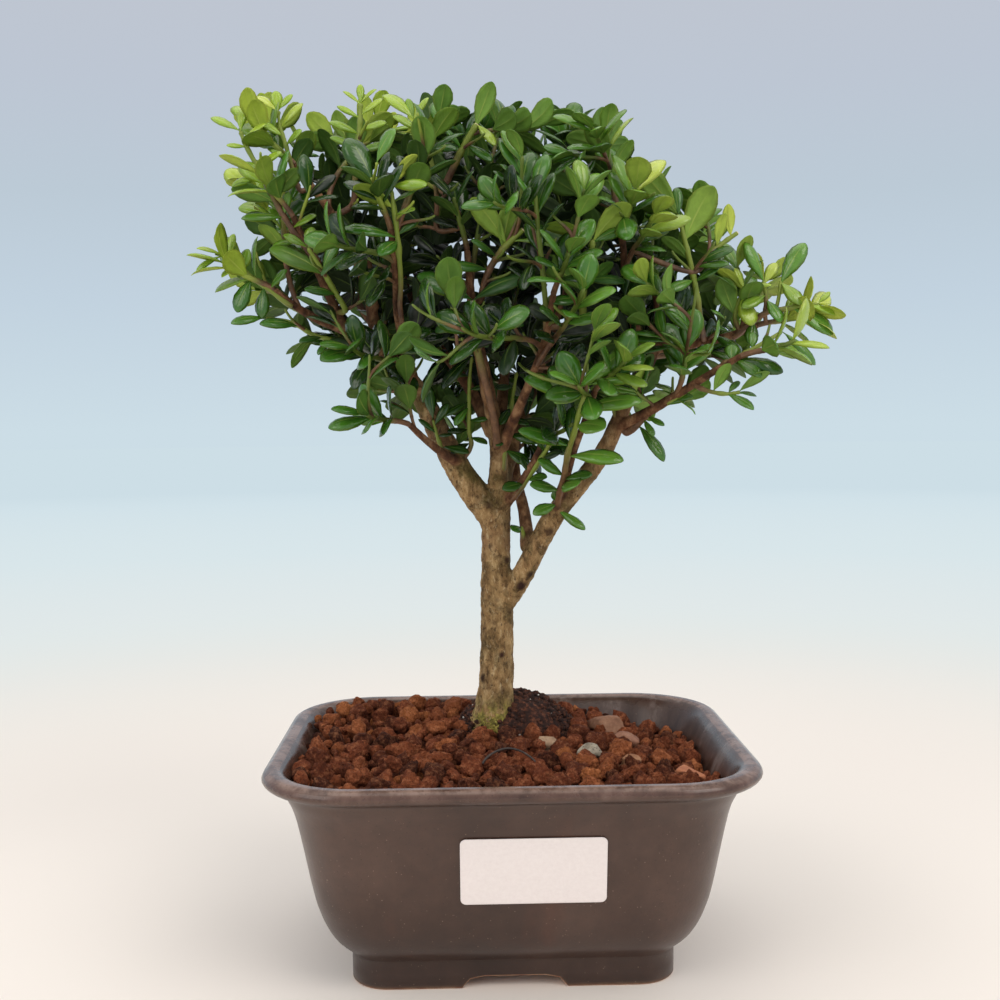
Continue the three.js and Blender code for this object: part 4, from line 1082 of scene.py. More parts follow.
def lava_look():
    look = Look("lava")
    base = look.ramp(
        look.attribute("tone"), (0.0, (34, 17, 13)), (0.2, (92, 46, 29)), (0.5, (140, 73, 44)),
        (0.8, (168, 95, 58)), (1.0, (208, 126, 72)),
    )
    dust = look.ramp(
        look.noise(480, 6, 0.75), (0.36, (44, 22, 16)), (0.5, (116, 62, 40)), (0.64, (204, 136, 96)),
    )
    base = look.mix(0.45, base, dust)
    base = look.over(base, (58, 28, 22), look.band(look.cells(1100), 0.34, 0.12), 0.55)
    rough = look.bump(look.noise(900, 7, 0.82), 1.0, 0.0012)
    pitted = look.bump(look.cells(1000), 0.8, 0.0006, rough)
    look.set(Base_Color=base, Roughness=0.95, Normal=pitted, Specular_IOR_Level=0.2)
    return look.material


def bark_look():
    look = Look("bark")
    old = look.ramp(
        look.noise(300, 8, 0.78, 0.5),
        (0.33, (92, 66, 39)), (0.42, (143, 110, 70)), (0.54, (174, 140, 95)), (0.66, (208, 178, 132)),
    )
    old = look.mottled(
        old, look.noise(80, 3, 0.6), (0.32, (0.86, 0.86, 0.82, 1)), (0.66, (1.12, 1.11, 1.1, 1)),
    )
    olive = look.patches(0.5, 0.66, 75, 4, 0.6)
    high = look.plus(0.3, look.times(look.band(look.height(), 0.112, 0.14), 0.35))
    old = look.over(old, (112, 102, 46), olive, high)
    pinkish = look.patches(0.52, 0.64, 52, 3, 0.6, 0.5)
    old = look.over(old, (142, 100, 72), pinkish, 0.4)
    flecks = look.band(look.cells(520, 0.6), 0.24, 0.08)
    sparse = look.patches(0.47, 0.58, 240, 2, 0.5)
    old = look.over(old, (62, 44, 30), flecks, look.times(sparse, 0.8))
    wander = look.node("ShaderNodeTexNoise", {"Vector": look.place, "Scale": 420.0}, "Color")
    warped = look.node(
        "ShaderNodeVectorMath", {0: look.stretched(0.75), 1: wander, 2: (0.0035, 0.0035, 0.0035)}, "Vector",
        operation="MULTIPLY_ADD",
    )
    seams = look.node(
        "ShaderNodeTexVoronoi", {"Vector": warped, "Scale": 460.0}, "Distance", feature="DISTANCE_TO_EDGE",
    )
    cracked = look.times(look.band(seams, 0.11, 0.0), look.patches(0.46, 0.62, 150, 3, 0.6))
    old = look.over(old, (74, 52, 34), cracked, 0.6)
    specks = look.patches(0.58, 0.63, 900, 3, 0.6, 0.6)
    old = look.over(old, (72, 48, 31), specks, 0.62)
    flakes = look.patches(0.4, 0.34, 640, 4, 0.7, 0.5, 1.1)
    old = look.over(old, (214, 192, 150), flakes, 0.5)
    young = look.ramp(
        look.noise(260, 5, 0.65, 0.6),
        (0.34, (66, 40, 26)), (0.5, (116, 76, 50)), (0.64, (166, 124, 88)),
    )
    bark = look.mix(look.attribute("thin"), old, young)
    green = look.ramp(look.noise(800, 3, 0.6), (0.35, (92, 86, 38)), (0.65, (176, 164, 78)))
    patches = look.patches(0.38, 0.6, 330, 4, 0.65)
    bark = look.over(bark, green, look.attribute("moss"), patches)
    bark = look.mix(look.attribute("scar"), bark, (58, 32, 22))
    relief = look.less(look.noise(460, 7, 0.78, 0.5), look.times(cracked, 0.4))
    fissures = look.bump(relief, 0.9, 0.0009)
    rough = look.bump(look.noise(1300, 4, 0.7), 0.4, 0.0003, fissures)
    look.set(Base_Color=bark, Roughness=0.82, Normal=rough, Specular_IOR_Level=0.3)
    return look.material


def stem_look():
    look = Look("young_stem")
    along, young, tone = look.attribute("along"), look.attribute("young"), look.attribute("tone")
    green = look.mix(young, (88, 106, 36), (158, 172, 60))
    woody = look.ramp(look.noise(320, 4, 0.6), (0.32, (78, 50, 34)), (0.68, (132, 94, 62)))
    turning = look.plus(along, look.times(look.less(tone, 0.5), 0.5))
    base = look.mix(look.band(turning, 0.2, 0.55), woody, green)
    base = look.mix(look.band(along, 1.3, 1.5), base, (214, 196, 150))
    look.set(Base_Color=base, Roughness=0.55, Normal=look.bump(look.noise(900, 3, 0.6), 0.3, 0.0003))
    return look.material


# Stops by tone for old, grown and fresh leaves; a leaf's tone holds painted shade and painted light (see
# add_leaf)
LEAF_TOP_STOPS = (
    [(0.0, (12, 24, 11)), (0.3, (23, 44, 15)), (0.6, (38, 71, 20)), (1.0, (56, 96, 28))],
    [(0.0, (46, 90, 24)), (0.5, (68, 118, 34)), (1.0, (96, 142, 50))],
    [(0.0, (112, 148, 38)), (0.5, (146, 176, 52)), (1.0, (188, 200, 84))],
)
# The undersides are paler than the tops, and brighter still as painted light shining through the leaves
LEAF_UNDER_STOPS = (
    [(0.0, (30, 46, 20)), (0.5, (66, 96, 32)), (1.0, (94, 128, 44))],
    [(0.0, (80, 120, 42)), (1.0, (116, 152, 60))],
    [(0.0, (150, 174, 52)), (1.0, (190, 202, 82))],
)


def leaf_look(name, stops):
    look = Look(name)
    along, across = look.attribute("along"), look.attribute("across")
    tone, young = look.attribute("tone"), look.attribute("young")
    old, grown, fresh = [look.ramp(tone, *row) for row in stops]
    base = look.mix(look.band(young, 0.0, 0.42), old, grown)
    base = look.mix(look.band(young, 0.42, 0.92), base, fresh)
    base = look.mottled(
        base, look.noise(240, 3, 0.6), (0.3, (0.8, 0.82, 0.8, 1)), (0.7, (1.14, 1.12, 1.06, 1)),
    )
    off_rib = look.math("ABSOLUTE", across)
    rib = look.times(look.band(off_rib, 0.09, 0.02), look.band(along, 1.02, 0.4))
    base = look.over(base, look.mix(young, (112, 138, 62), (196, 206, 96)), rib, 0.62)
    edge = look.band(off_rib, 0.82, 1.0)
    base = look.over(base, look.mix(young, (78, 108, 36), (196, 198, 72)), edge, 0.35)
    slant = look.plus(look.times(along, 10.0), look.times(off_rib, -3.0))
    veins = look.math("ABSOLUTE", look.math("SINE", look.times(slant, math.pi)))
    ribbed = look.bump(veins, 0.10, 0.0003)
    skin = look.bump(look.noise(700, 3, 0.6), 0.12, 0.0003, ribbed)
    if stops is LEAF_UNDER_STOPS:
        look.set(Base_Color=base, Roughness=0.6, Normal=skin, Specular_IOR_Level=0.3)
    else:
        dull = look.times(look.band(tone, 0.32, 0.0), 0.24)
        rough = look.plus(dull, look.plus(0.08, look.times(look.noise(180, 2, 0.5), 0.18)))
        look.set(Base_Color=base, Roughness=rough, Normal=skin, Specular_IOR_Level=0.55)
    return look.material


GLAZE = glaze_look()
PAPER = plain_look(
    "label_paper", (900, 5, 0.7), [(0.3, (236, 225, 221)), (0.7, (243, 233, 229))], 0.42,
    ((1600, 3, 0.6), 0.05, 0.0002),
)
LAVA = lava_look()
PEAT = plain_look(
    "peat", (520, 6, 0.75), [(0.34, (20, 10, 7)), (0.5, (60, 31, 21)), (0.66, (132, 78, 52))], 0.95,
    ((1300, 5, 0.8), 1.0, 0.0008),
)
PERLITE = plain_look(
    "perlite", (900, 3, 0.6), [(0.35, (196, 186, 172)), (0.65, (236, 232, 224))], 0.8,
    ((2200, 3, 0.6), 0.5, 0.0002),
)
BARK, STEM = bark_look(), stem_look()
MOSS = plain_look(
    "moss", (700, 4, 0.7), [(0.34, (70, 64, 28)), (0.5, (132, 122, 50)), (0.66, (190, 176, 92))], 0.9,
    ((2400, 3, 0.7), 0.9, 0.0004),
)
ROOTLET = plain_look("rootlet", (900, 3, 0.6), [(0.3, (30, 24, 22)), (0.7, (78, 64, 56))], 0.6)
LEAF_TOP, LEAF_UNDER = leaf_look("leaf_top", LEAF_TOP_STOPS), leaf_look("leaf_under", LEAF_UNDER_STOPS)
LEAFY = [LEAF_TOP, LEAF_UNDER, STEM]


# The pot and its label

POT_HEIGHT = 68
FRONT_ARCH_HALF = 16.0
FLANK_ARCH_HALF = 11.0
# Inset from the rim, height, how bare the clay is, and whether the arches lift it
FOOT_RINGS = [
    (34.2, 5.0, 1, 0), (32.4, 4.6, 1, 0), (32.2, 4.2, 1, 0), (32.2, 0.5, 1, 1), (31.9, 0.12, 1, 1),
    (31.3, 0, 1, 1), (26.2, 0, 1, 1), (25.6, 0.12, 1, 1), (25.25, 0.5, 0.55, 1), (25.2, 4.4, 0, 0),
]
LABEL_X = 5.2
LABEL_LOW, LABEL_HIGH = 30.6, 51.2
LABEL_WIDTH = 42.5
LABEL_CORNER_RADIUS = 1.7
LABEL_GAP = 0.24
# How far each ring of the label is drawn in from its edge, and how far it stands off the wall
LABEL_RINGS = [(0.0, 0.06), (0.0, 0.26), (0.12, 0.34), (0.6, 0.36), (10.0, 0.36)]


def corner_arc(corner, cx, cy, radius, steps):
    """The arc of one corner of a rounded rectangle, with the corners counted against the clock."""
    sx, sy = (1, -1, -1, 1)[corner], (1, 1, -1, -1)[corner]
    turns = [(corner + step / steps) * math.pi / 2 for step in range(steps + 1)]
    return [(sx * cx + radius * math.cos(turn), sy * cy + radius * math.sin(turn)) for turn in turns]


def side_places(half, arch):
    """Places along one side, close together where the foot's arch ends."""
    outer = list(np.linspace(half, arch + 0.02, 9)[1:])
    places = outer + [arch, arch - 0.4, arch - 1.2, arch - 2.4, arch - 4.5, arch - 7, arch * 0.3]
    return places + [0] + [-p for p in reversed(places)]


def plan_ring(inset, height):
    """The pot's plan at an inset from the rim."""
    radius = RIM_CORNER_RADIUS - CORNER_TIGHTENING * inset
    cx, cy = RIM_HALF_WIDTH - inset - radius, RIM_HALF_DEPTH - inset - radius
    front, flank = side_places(cx, FRONT_ARCH_HALF), side_places(cy, FLANK_ARCH_HALF)
    sides = (
        [(x, cy + radius) for x in front], [(-cx - radius, y) for y in flank],
        [(-x, -cy - radius) for x in front], [(cx + radius, -y) for y in flank],
    )
    ring = [p for corner in range(4) for p in [*corner_arc(corner, cx, cy, radius, 12), *sides[corner]]]
    return np.array([[x, y, height] for x, y in ring])


def arch_lift(ring):
    """How far the foot's underside is cut away at each point: arches in the middle of the four sides."""
    x, y = np.abs(ring[:, 0]), np.abs(ring[:, 1])

    def arch(away, half):
        return np.interp(away, [half - 7, half - 2.5, half], [3.6, 2.8, 0]) * (away < half)

    front, flank = arch(x, FRONT_ARCH_HALF), arch(y, FLANK_ARCH_HALF)
    return np.where(y > x * 0.8, front, 0) + np.where(x > y * 1.15, flank, 0)


def build_pot():
    outer = curve_through(POT_SECTION[1:13], 5)
    section = np.concatenate([outer, curve_through(POT_SECTION[12:], 5)[1:]])
    section[:, 0] = np.maximum(section[:, 0], 0)
    section[:, 1] = np.minimum(section[:, 1], POT_HEIGHT)
    rings, bare, inner = [], [], []
    for inset, height, bareness, arched in [*FOOT_RINGS, *((*row, 0, 0) for row in section)]:
        ring = plan_ring(inset, height)
        if arched:
            ring[:, 2] += arch_lift(ring)
        rings.append(ring)
        bare.append(bareness)
        inner.append(float(len(rings) > 12 + len(outer) and inset > 5.4))
    count = len(rings[0])
    points = np.concatenate(rings)
    faces = [ring_faces(len(rings), count), cap(0, count, -1), cap((len(rings) - 1) * count, count)]
    wobble = noise_at(points, 0.03, 4) * 0.18
    outward = points * [1, 1, 0] / np.linalg.norm(points[:, :2], axis=1)[:, None]
    middle = smooth(9, 20, points[:, 2]) * (1 - smooth(56, 62, points[:, 2]))
    points = points + outward * (wobble * middle)[:, None]
    shape = Shape()
    shape.add(points, faces, bare=np.repeat(bare, count), inner=np.repeat(inner, count))
    return shape.build("pot_glazed", [GLAZE])


def build_label():
    low, high = POT_SECTION[6], POT_SECTION[7]
    half_width, half_rise = LABEL_WIDTH / 2, (LABEL_HIGH - LABEL_LOW) / 2
    cx, cy = half_width - LABEL_CORNER_RADIUS, half_rise - LABEL_CORNER_RADIUS
    outline = np.array([p for corner in range(4) for p in corner_arc(corner, cx, cy, LABEL_CORNER_RADIUS, 6)])
    rings = []
    for shrink, lift in LABEL_RINGS:
        ring = outline * [1 - shrink / half_width, 1 - shrink / half_rise]
        x, z = ring[:, 0] + LABEL_X, ring[:, 1] + (LABEL_LOW + LABEL_HIGH) / 2
        wall = np.interp(z, [low[1], high[1]], [low[0], high[0]]) - RIM_HALF_DEPTH
        rings.append(np.stack([x, wall - LABEL_GAP - lift, z], 1))
    count = len(outline)
    sides = np.array(ring_faces(len(rings), count))[:, ::-1]
    shape = Shape()
    shape.add(np.concatenate(rings), [sides, cap(0, count), cap((len(rings) - 1) * count, count, -1)])
    return shape.build("label_blank", [PAPER])


# What fills the pot

# Place, size, three tones and how speckled
PEBBLES = [
    ((12, -2), (4.2, 3.6, 3.2), (132, 104, 80), (164, 134, 106), (190, 164, 136), 0.3),
    ((26, -8), (4.6, 4, 3.2), (104, 94, 80), (158, 148, 130), (204, 194, 174), 0.9),
    ((38, -13), (4.4, 4, 3), (132, 88, 60), (162, 116, 82), (184, 142, 106), 0.2),
    ((36, 33), (7.4, 5.6, 4), (120, 80, 58), (148, 106, 80), (168, 126, 98), 0.2),
    ((41, 18), (4.8, 4.2, 3.2), (124, 80, 60), (150, 104, 80), (170, 126, 100), 0.2),
    ((55, -24), (5.2, 5, 4.4), (150, 86, 56), (178, 112, 76), (196, 134, 96), 0.1),
]
# Name, which stones, number wanted, radii, lift above the ground, spread of the lift, closeness
GRAIN_LAYERS = [
    ("lava_grains", "coarse", 110, (3.3, 4.7), 1.3, 1.0, 0.95),
    ("lava_mid_grains", "medium", 520, (2.3, 3.4), 1.0, 1.2, 0.93),
    ("lava_small_grains", "fine", 1100, (1.2, 2.3), 0.4, 1.6, 0.9),
    ("lava_grit", "fine", 500, (1.8, 3.2), -2.0, 0.8, 0.7),
]
MOST_TRIES = 12000
BED_STEPS = 16
BED_DEPTH = 3.6
BED_TOP = 62.5
MOUND_LOW, MOUND_TOP = 56, 77.4
CRUMB_COUNT = 680
TUFT_COUNT = 190


def wall_distance(x, y, z):
    """How far a point is inside the pot's inner wall."""
    inner = POT_SECTION[INNER_WALL_START:][::-1]
    inset = np.interp(z, inner[:, 1], inner[:, 0])
    radius = RIM_CORNER_RADIUS - CORNER_TIGHTENING * inset
    qx = np.abs(x) - (RIM_HALF_WIDTH - inset - radius)
    qy = np.abs(y) - (RIM_HALF_DEPTH - inset - radius)
    outside = np.hypot(np.maximum(qx, 0), np.maximum(qy, 0)) + np.minimum(np.maximum(qx, qy), 0)
    return radius - outside


def rock(rng, level, cuts, roughness):
    """A rough angular stone of radius about 1."""
    points, faces = icosphere(level)
    points = points * (1 + 0.30 * noise_at(points, 1.1, rng.random() * 40))[:, None]
    for _ in range(cuts):
        normal = unit(np.array([rng.gauss(0, 1) for _ in range(3)]))
        over = points @ normal - rng.uniform(0.52, 0.8)
        points = points - np.outer(np.maximum(over, 0) * 0.92, normal)
    points = points * (1 + roughness * noise_at(points, 3.4, rng.random() * 40))[:, None]
    points = points * (1 + roughness * 0.5 * noise_at(points, 8.5, rng.random() * 40))[:, None]
    return points, faces


def turned(rng):
    """A random turn in three dimensions."""
    w, x, y, z = unit(np.array([rng.gauss(0, 1) for _ in range(4)]))
    return np.array([
        [1 - 2 * (y * y + z * z), 2 * (x * y - w * z), 2 * (x * z + w * y)],
        [2 * (x * y + w * z), 1 - 2 * (x * x + z * z), 2 * (y * z - w * x)],
        [2 * (x * z - w * y), 2 * (y * z + w * x), 1 - 2 * (x * x + y * y)],
    ])


def pebble_centre(place, size):
    x, y = place
    return np.array([x, y, ground_height(x, y) + 0.35 * size[2]])


def in_root_ball(point, grow):
    return (((point - ROOT_BALL_CENTRE) / (ROOT_BALL_RADII + grow)) ** 2).sum() < 1


def build_pebbles():
    pieces = []
    for number, (place, size, low, middle, high, speckle) in enumerate(PEBBLES, 1):
        points, faces = rock(random.Random(40 + number), 4, 5, 0.05)
        span = np.abs(points).max(axis=0)
        shape = Shape()
        shape.add(pebble_centre(place, size) + points / span * np.array(size) * 0.98, [faces])
        name = f"stone_{number}"
        stops = [(0.3, low), (0.52, middle), (0.75, high)]
        look = plain_look(name, (330, 5, 0.65), stops, 0.75, ((800, 5, 0.7), 0.5, 0.0005), speckle)
        pieces.append(shape.build(name, [look]))
    return pieces


def free_of_others(point, radius):
    """Whether a grain here is clear of the trunk, the pebbles and the root ball."""
    trunk = np.array(LIMBS["trunk"])
    axis = np.array([np.interp(point[2], trunk[:, 2], trunk[:, k]) for k in (0, 1, 3)])
    if math.hypot(point[0] - axis[0], point[1] - axis[1]) < axis[2] + radius * 0.75:
        return False
    for place, size, *_ in PEBBLES:
        away = (point - pebble_centre(place, size)) / (np.array(size) + radius * 0.72)
        if (away ** 2).sum() < 1:
            return False
    return not in_root_ball(point + UP * radius * 0.3, radius * 0.3)


def scatter_grains(shape, rng, stones, back_stones, taken, wanted, radii, lift, lift_spread, packing):
    """Drops grains at random places, each clear of the ones that lie there."""
    tried = 0
    placed = 0
    while placed < wanted and tried < MOST_TRIES:
        tried += 1
        x = rng.uniform(-RIM_HALF_WIDTH, RIM_HALF_WIDTH)
        y = rng.uniform(-RIM_HALF_DEPTH, RIM_HALF_DEPTH)
        radius = rng.triangular(radii[0], radii[1], radii[0] * 0.6 + radii[1] * 0.4)
        at = np.array([x, y, ground_height(x, y) + lift + rng.uniform(-lift_spread, lift_spread)])
        if wall_distance(*at) < radius * 0.95 + 0.3 or not free_of_others(at, radius):
            continue
        others = np.array(taken) if taken else np.zeros((0, 4))
        if (np.linalg.norm(others[:, :3] - at, axis=1) < (others[:, 3] + radius) * packing).any():
            continue
        taken.append([*at, radius])
        placed += 1
        turn, stretch = turned(rng), np.array([1, rng.uniform(0.8, 1), rng.uniform(0.68, 0.94)])
        points, faces = (stones if y < 0 else back_stones)[rng.randrange(len(stones))]
        tone = min(1, max(0, rng.gauss(0.5, 0.29)))
        shape.add(at + (points * stretch * radius * 1.06) @ turn.T, [faces], tone=tone)


def build_gravel():
    rng = random.Random(5)
    kinds = {
        "coarse": [rock(rng, 4, 7, 0.24) for _ in range(14)],
        "medium": [rock(rng, 3, 6, 0.24) for _ in range(14)],
        "fine": [rock(rng, 2, 5, 0.12) for _ in range(8)],
    }
    pieces = []
    top, under = [], []
    for name, kind, *numbers in GRAIN_LAYERS:
        back_kind = "medium" if kind == "coarse" else kind
        taken = under if name == "lava_grit" else top
        grains = Shape()
        scatter_grains(grains, rng, kinds[kind], kinds[back_kind], taken, *numbers)
        pieces.append(grains.build(name, [LAVA]))
    return [*pieces, build_bed()]


def build_bed():
    """The ground under the grains, down to the pot's floor."""
    rings = [plan_ring(13.4, 0) * ((k + 1) / BED_STEPS) for k in range(BED_STEPS)]
    for ring in rings:
        ring[:, 2] = ground_height(ring[:, 0], ring[:, 1]) - BED_DEPTH + noise_at(ring, 0.35, 2) * 0.8
        ring[:, 2] = np.minimum(ring[:, 2], BED_TOP)
    for inset, height in ((14.2, 50), (18, 32), (21, 23), (26, 15.2), (31, 13)):
        rings.append(plan_ring(inset, height))
    count = len(rings[0])
    points = np.concatenate([[[0, 0, ground_height(0, 0) - BED_DEPTH]], *rings])
    fan = [[0, 1 + k, 1 + (k + 1) % count] for k in range(count)]
    skirt = (np.array(ring_faces(len(rings), count)) + 1)[:, ::-1]
    bed = Shape()
    # Tone 0 gives the bed the darkest lava colour: painted shade in the gaps between the grains
    bed.add(points, [fan, skirt, cap(1 + (len(rings) - 1) * count, count, -1)], tone=0.0)
    return bed.build("lava_bed", [LAVA])


def build_mound():
    """The root ball's top, with its crumbs and white grains."""
    rng = random.Random(9)
    points, faces = icosphere(6)
    swell = 1 + 0.05 * noise_at(points, 2.2, 3) + 0.035 * noise_at(points, 6.5, 5)
    swell += 0.02 * noise_at(points, 16, 6)
    surface = ROOT_BALL_CENTRE + points * ROOT_BALL_RADII * swell[:, None]
    surface[:, 2] = np.minimum(surface[:, 2], MOUND_TOP)
    keep = surface[:, 2] > MOUND_LOW
    kept_faces = faces[keep[faces].all(axis=1)]
    index = np.cumsum(keep) - 1
    mound = Shape()
    mound.add(surface[keep], [index[kept_faces]])
    peat = mound.build("peat_mound", [PEAT])
    crumbs, perlite = Shape(), Shape()
    stones = [rock(rng, 2, 4, 0.2) for _ in range(6)]
    placed = 0
    while placed < CRUMB_COUNT:
        direction = unit(np.array([rng.gauss(0, 1), rng.gauss(0, 1), abs(rng.gauss(0, 1)) + 0.2]))
        spot = ROOT_BALL_CENTRE + direction * ROOT_BALL_RADII
        if spot[2] < ground_height(spot[0], spot[1]) - 1:
            continue
        placed += 1
        white = placed % 13 == 0
        radius = rng.uniform(0.2, 0.55) if white else rng.triangular(0.35, 1.5, 0.6)
        points, faces = stones[rng.randrange(6)]
        where = spot + direction * rng.uniform(-0.2, 0.5)
        (perlite if white else crumbs).add(where + (points * radius) @ turned(rng).T, [faces])
    return [peat, crumbs.build("peat_crumbs", [PEAT]), perlite.build("perlite_grains", [PERLITE])]


def build_moss():
    """Low tufts of moss on the foot of the trunk, towards the viewer."""
    rng = random.Random(21)
    tufts = Shape()
    stones = [rock(rng, 2, 1, 0.3) for _ in range(5)]
    for _ in range(TUFT_COUNT):
        angle = math.radians(rng.gauss(-98, 17))
        height = rng.triangular(66.5, 72, 67.2) - abs(angle + 1.7) * 1.6
        radius = np.interp(height, [60, 66, 72, 78], [9.6, 9.0, 7.4, 6.4])
        at = np.array([-4.5 + radius * math.cos(angle), 18.3 + radius * math.sin(angle), height])
        points, faces = stones[rng.randrange(5)]
        size = rng.uniform(0.2, 0.52)
        tufts.add(at + (points * [1, 0.8, 0.6] * size) @ turned(rng).T, [faces])
    return tufts.build("moss_tufts", [MOSS])


def build_rootlet():
    """A thin dry rootlet arching over the gravel in front of the trunk."""
    path = curve_through([
        [-9, -29, 66.5], [-7.4, -28.3, 68.4], [-4.2, -24.5, 69.2], [-0.7, -23.5, 69.6], [3.2, -25.4, 69],
        [6.5, -29.5, 67.6], [7.6, -31, 66],
    ], 8)
    shape = Shape()
    shape.add(*tube(path, np.linspace(0.42, 0.26, len(path)), 8, start_cap=True))
    return shape.build("dry_rootlet", [ROOTLET])


# Wood

VOXEL = 0.00057
TRUNK_FOOT = 54
# Knots and scars: x, y, z, size, height, how dark
KNOTS = [
    (-5.3, 13.2, 129, 1, 0.7, 0.8), (0.4, 14.2, 124.1, 1.5, 0.8, 0.9), (14.5, 7.6, 133.9, 1.6, 0.6, 0.75),
    (7.9, 10.7, 119.6, 1.3, 0.9, 0.85), (4.9, 11.6, 115.5, 1.9, 0.7, 1), (-1.7, 12.2, 92.1, 1.3, 0.3, 1),
    (-8.5, 14.1, 84, 1.7, 0.8, 0.9), (1.2, 14.1, 106.7, 1.6, 0.5, 0.45), (-8, 14.6, 100.7, 0.8, 0.2, 0.7),
    (-3.2, 12.3, 110.8, 0.9, 0.3, 0.55), (-5.6, 12.5, 142.8, 1.2, 0.5, 0.5), (-1.5, 12, 80.2, 1.3, 0.3, 0.6),
    (-14, 12, 158, 1.3, 0.6, 0.5), (24, 5.4, 150, 1.6, 0.7, 0.6), (33, 3.5, 164, 1.3, 0.6, 0.5),
    (-25, 9, 178, 1.3, 0.5, 0.4), (-1.6, 12.8, 143, 2, 0.6, 0.1), (-4.6, 11.4, 98, 0.9, 0.3, 0.4),
]


def read_vectors(mesh, what):
    flat = np.zeros(len(mesh.vertices) * 3, np.float32)
    mesh.vertices.foreach_get(what, flat)
    return flat.reshape(-1, 3).astype(float)


def joined_limbs():
    """All limbs as tubes, joined into one skin."""
    shape = Shape()
    for name, points in LIMBS.items():
        path = curve_through(points, 5)
        collar = np.exp(-np.arange(len(path)) / 2.2) * path[0, 3] * 0.28
        if name == "trunk":
            path = path[path[:, 2] > TRUNK_FOOT]
            collar = 0
        shape.add(*tube(path[:, :3], path[:, 3] + collar, 18, start_cap=True))
    rough = shape.build("wood_tubes", [BARK])
    remesh = rough.modifiers.new("join", "REMESH")
    remesh.mode = "VOXEL"
    remesh.voxel_size = VOXEL
    evaluated = rough.evaluated_get(bpy.context.evaluated_depsgraph_get())
    joined = bpy.data.meshes.new_from_object(evaluated)
    bpy.data.objects.remove(rough)
    return joined


def limb_radius(points):
    """How thick the wood is at each point, from the limbs near it."""
    samples = np.concatenate([curve_through(p, 6) for p in LIMBS.values()])
    tree = kdtree.KDTree(len(samples))
    for k, sample in enumerate(samples):
        tree.insert(sample[:3], k)
    tree.balance()
    radius = np.zeros(len(points))
    for k, point in enumerate(points):
        found = [(samples[i][3], distance) for _, i, distance in tree.find_n(point, 10)]
        shares = [math.exp(-(distance - r) / 0.6) for r, distance in found]
        radius[k] = sum(r * share for (r, _), share in zip(found, shares)) / sum(shares)
    return radius


def build_wood():
    joined = joined_limbs()
    points = (read_vectors(joined, "co") - ORIGIN) / MM
    normals = read_vectors(joined, "normal")
    radius = limb_radius(points)
    thick = smooth(1.2, 4.5, radius)
    fine = noise_at(points, 1.1, 1, (1, 1, 0.4))
    lump = noise_at(points, 0.32, 2, (1, 1, 0.7))
    grit = noise_at(points, 2.0, 6, (1, 1, 0.6))
    offset = (0.06 + 0.2 * thick) * fine + (0.05 + 0.26 * thick) * lump + 0.16 * thick * grit
    scar = np.zeros(len(points))
    for x, y, z, size, height, dark in KNOTS:
        near = np.exp(-((points - np.array([x, y, z])) ** 2).sum(axis=1) / size ** 2)
        offset += height * near
        scar = np.maximum(scar, np.clip(near * 1.9 - 0.4, 0, 1) * dark)
    flare = smooth(74, 64, points[:, 2])
    angle = np.arctan2(points[:, 1] - 18.3, points[:, 0] + 4.6)
    offset += flare * (0.7 + 0.7 * np.cos(angle * 4 + 0.7))
    points = np.clip(points + normals * offset[:, None], BOX_LOW, BOX_HIGH)
    joined.vertices.foreach_set("co", (points * MM + ORIGIN).astype(np.float32).ravel())
    set_values(joined, "thin", 1 - smooth(1.7, 3.6, radius))
    set_values(joined, "scar", scar)
    set_values(joined, "moss", smooth(80, 70, points[:, 2]) * smooth(22, 12, points[:, 1]))
    joined.polygons.foreach_set("use_smooth", [True] * len(joined.polygons))
    joined.update()
    return add_object("bark_trunk_and_limbs", joined)


# Leafy sprays

# Along a leaf from its base to its tip: half width as a share of the widest, and the height of the
# fold and of the edge as a share of the length
LEAF_ROWS = np.array([0, 0.09, 0.22, 0.4, 0.62, 0.8, 0.92, 0.975, 1.0])
LEAF_HALF = np.array([0.07, 0.12, 0.41, 0.79, 1, 0.87, 0.57, 0.3, 0.07])
LEAF_RIDGE = np.array([0.2, 0.545, 1.05, 1.31, 1.16, 0.692, -0.0808, -0.757, -1.15]) / 14
LEAF_EDGE = np.array([0.1, 0.19, -0.00857, -0.39, -0.657, -0.892, -1.1, -1.23, -1.3]) / 14
LEAF_COLUMNS = np.array([-1, -0.58, -0.1, 0, 0.1, 0.58, 1.0])
LEAF_THICKNESS = 0.26
STEM_SIDES = 6


def leaf_template():
    """Point numbers and faces of one leaf: a top skin, and an underside that shares its rim."""
    rows, columns = len(LEAF_ROWS), len(LEAF_COLUMNS)
    top = np.arange(rows * columns).reshape(rows, columns)
    under = top.copy()
    under[1:-1, 1:-1] = rows * columns + np.arange((rows - 2) * (columns - 2)).reshape(rows - 2, columns - 2)
    upper, lower = [], []
    for r in range(rows - 1):
        for c in range(columns - 1):
            upper.append([top[r, c], top[r + 1, c], top[r + 1, c + 1], top[r, c + 1]])
            lower.append([under[r, c], under[r, c + 1], under[r + 1, c + 1], under[r + 1, c]])
    u, v = np.meshgrid(LEAF_ROWS, LEAF_COLUMNS, indexing="ij")
    return u, v, upper, lower


LEAF_U, LEAF_V, LEAF_UPPER, LEAF_LOWER = leaf_template()


def both_skins(top, under):
    """Values of the top skin's points, then of the underside's own points."""
    return np.concatenate([top.ravel(), under[1:-1, 1:-1].ravel()])


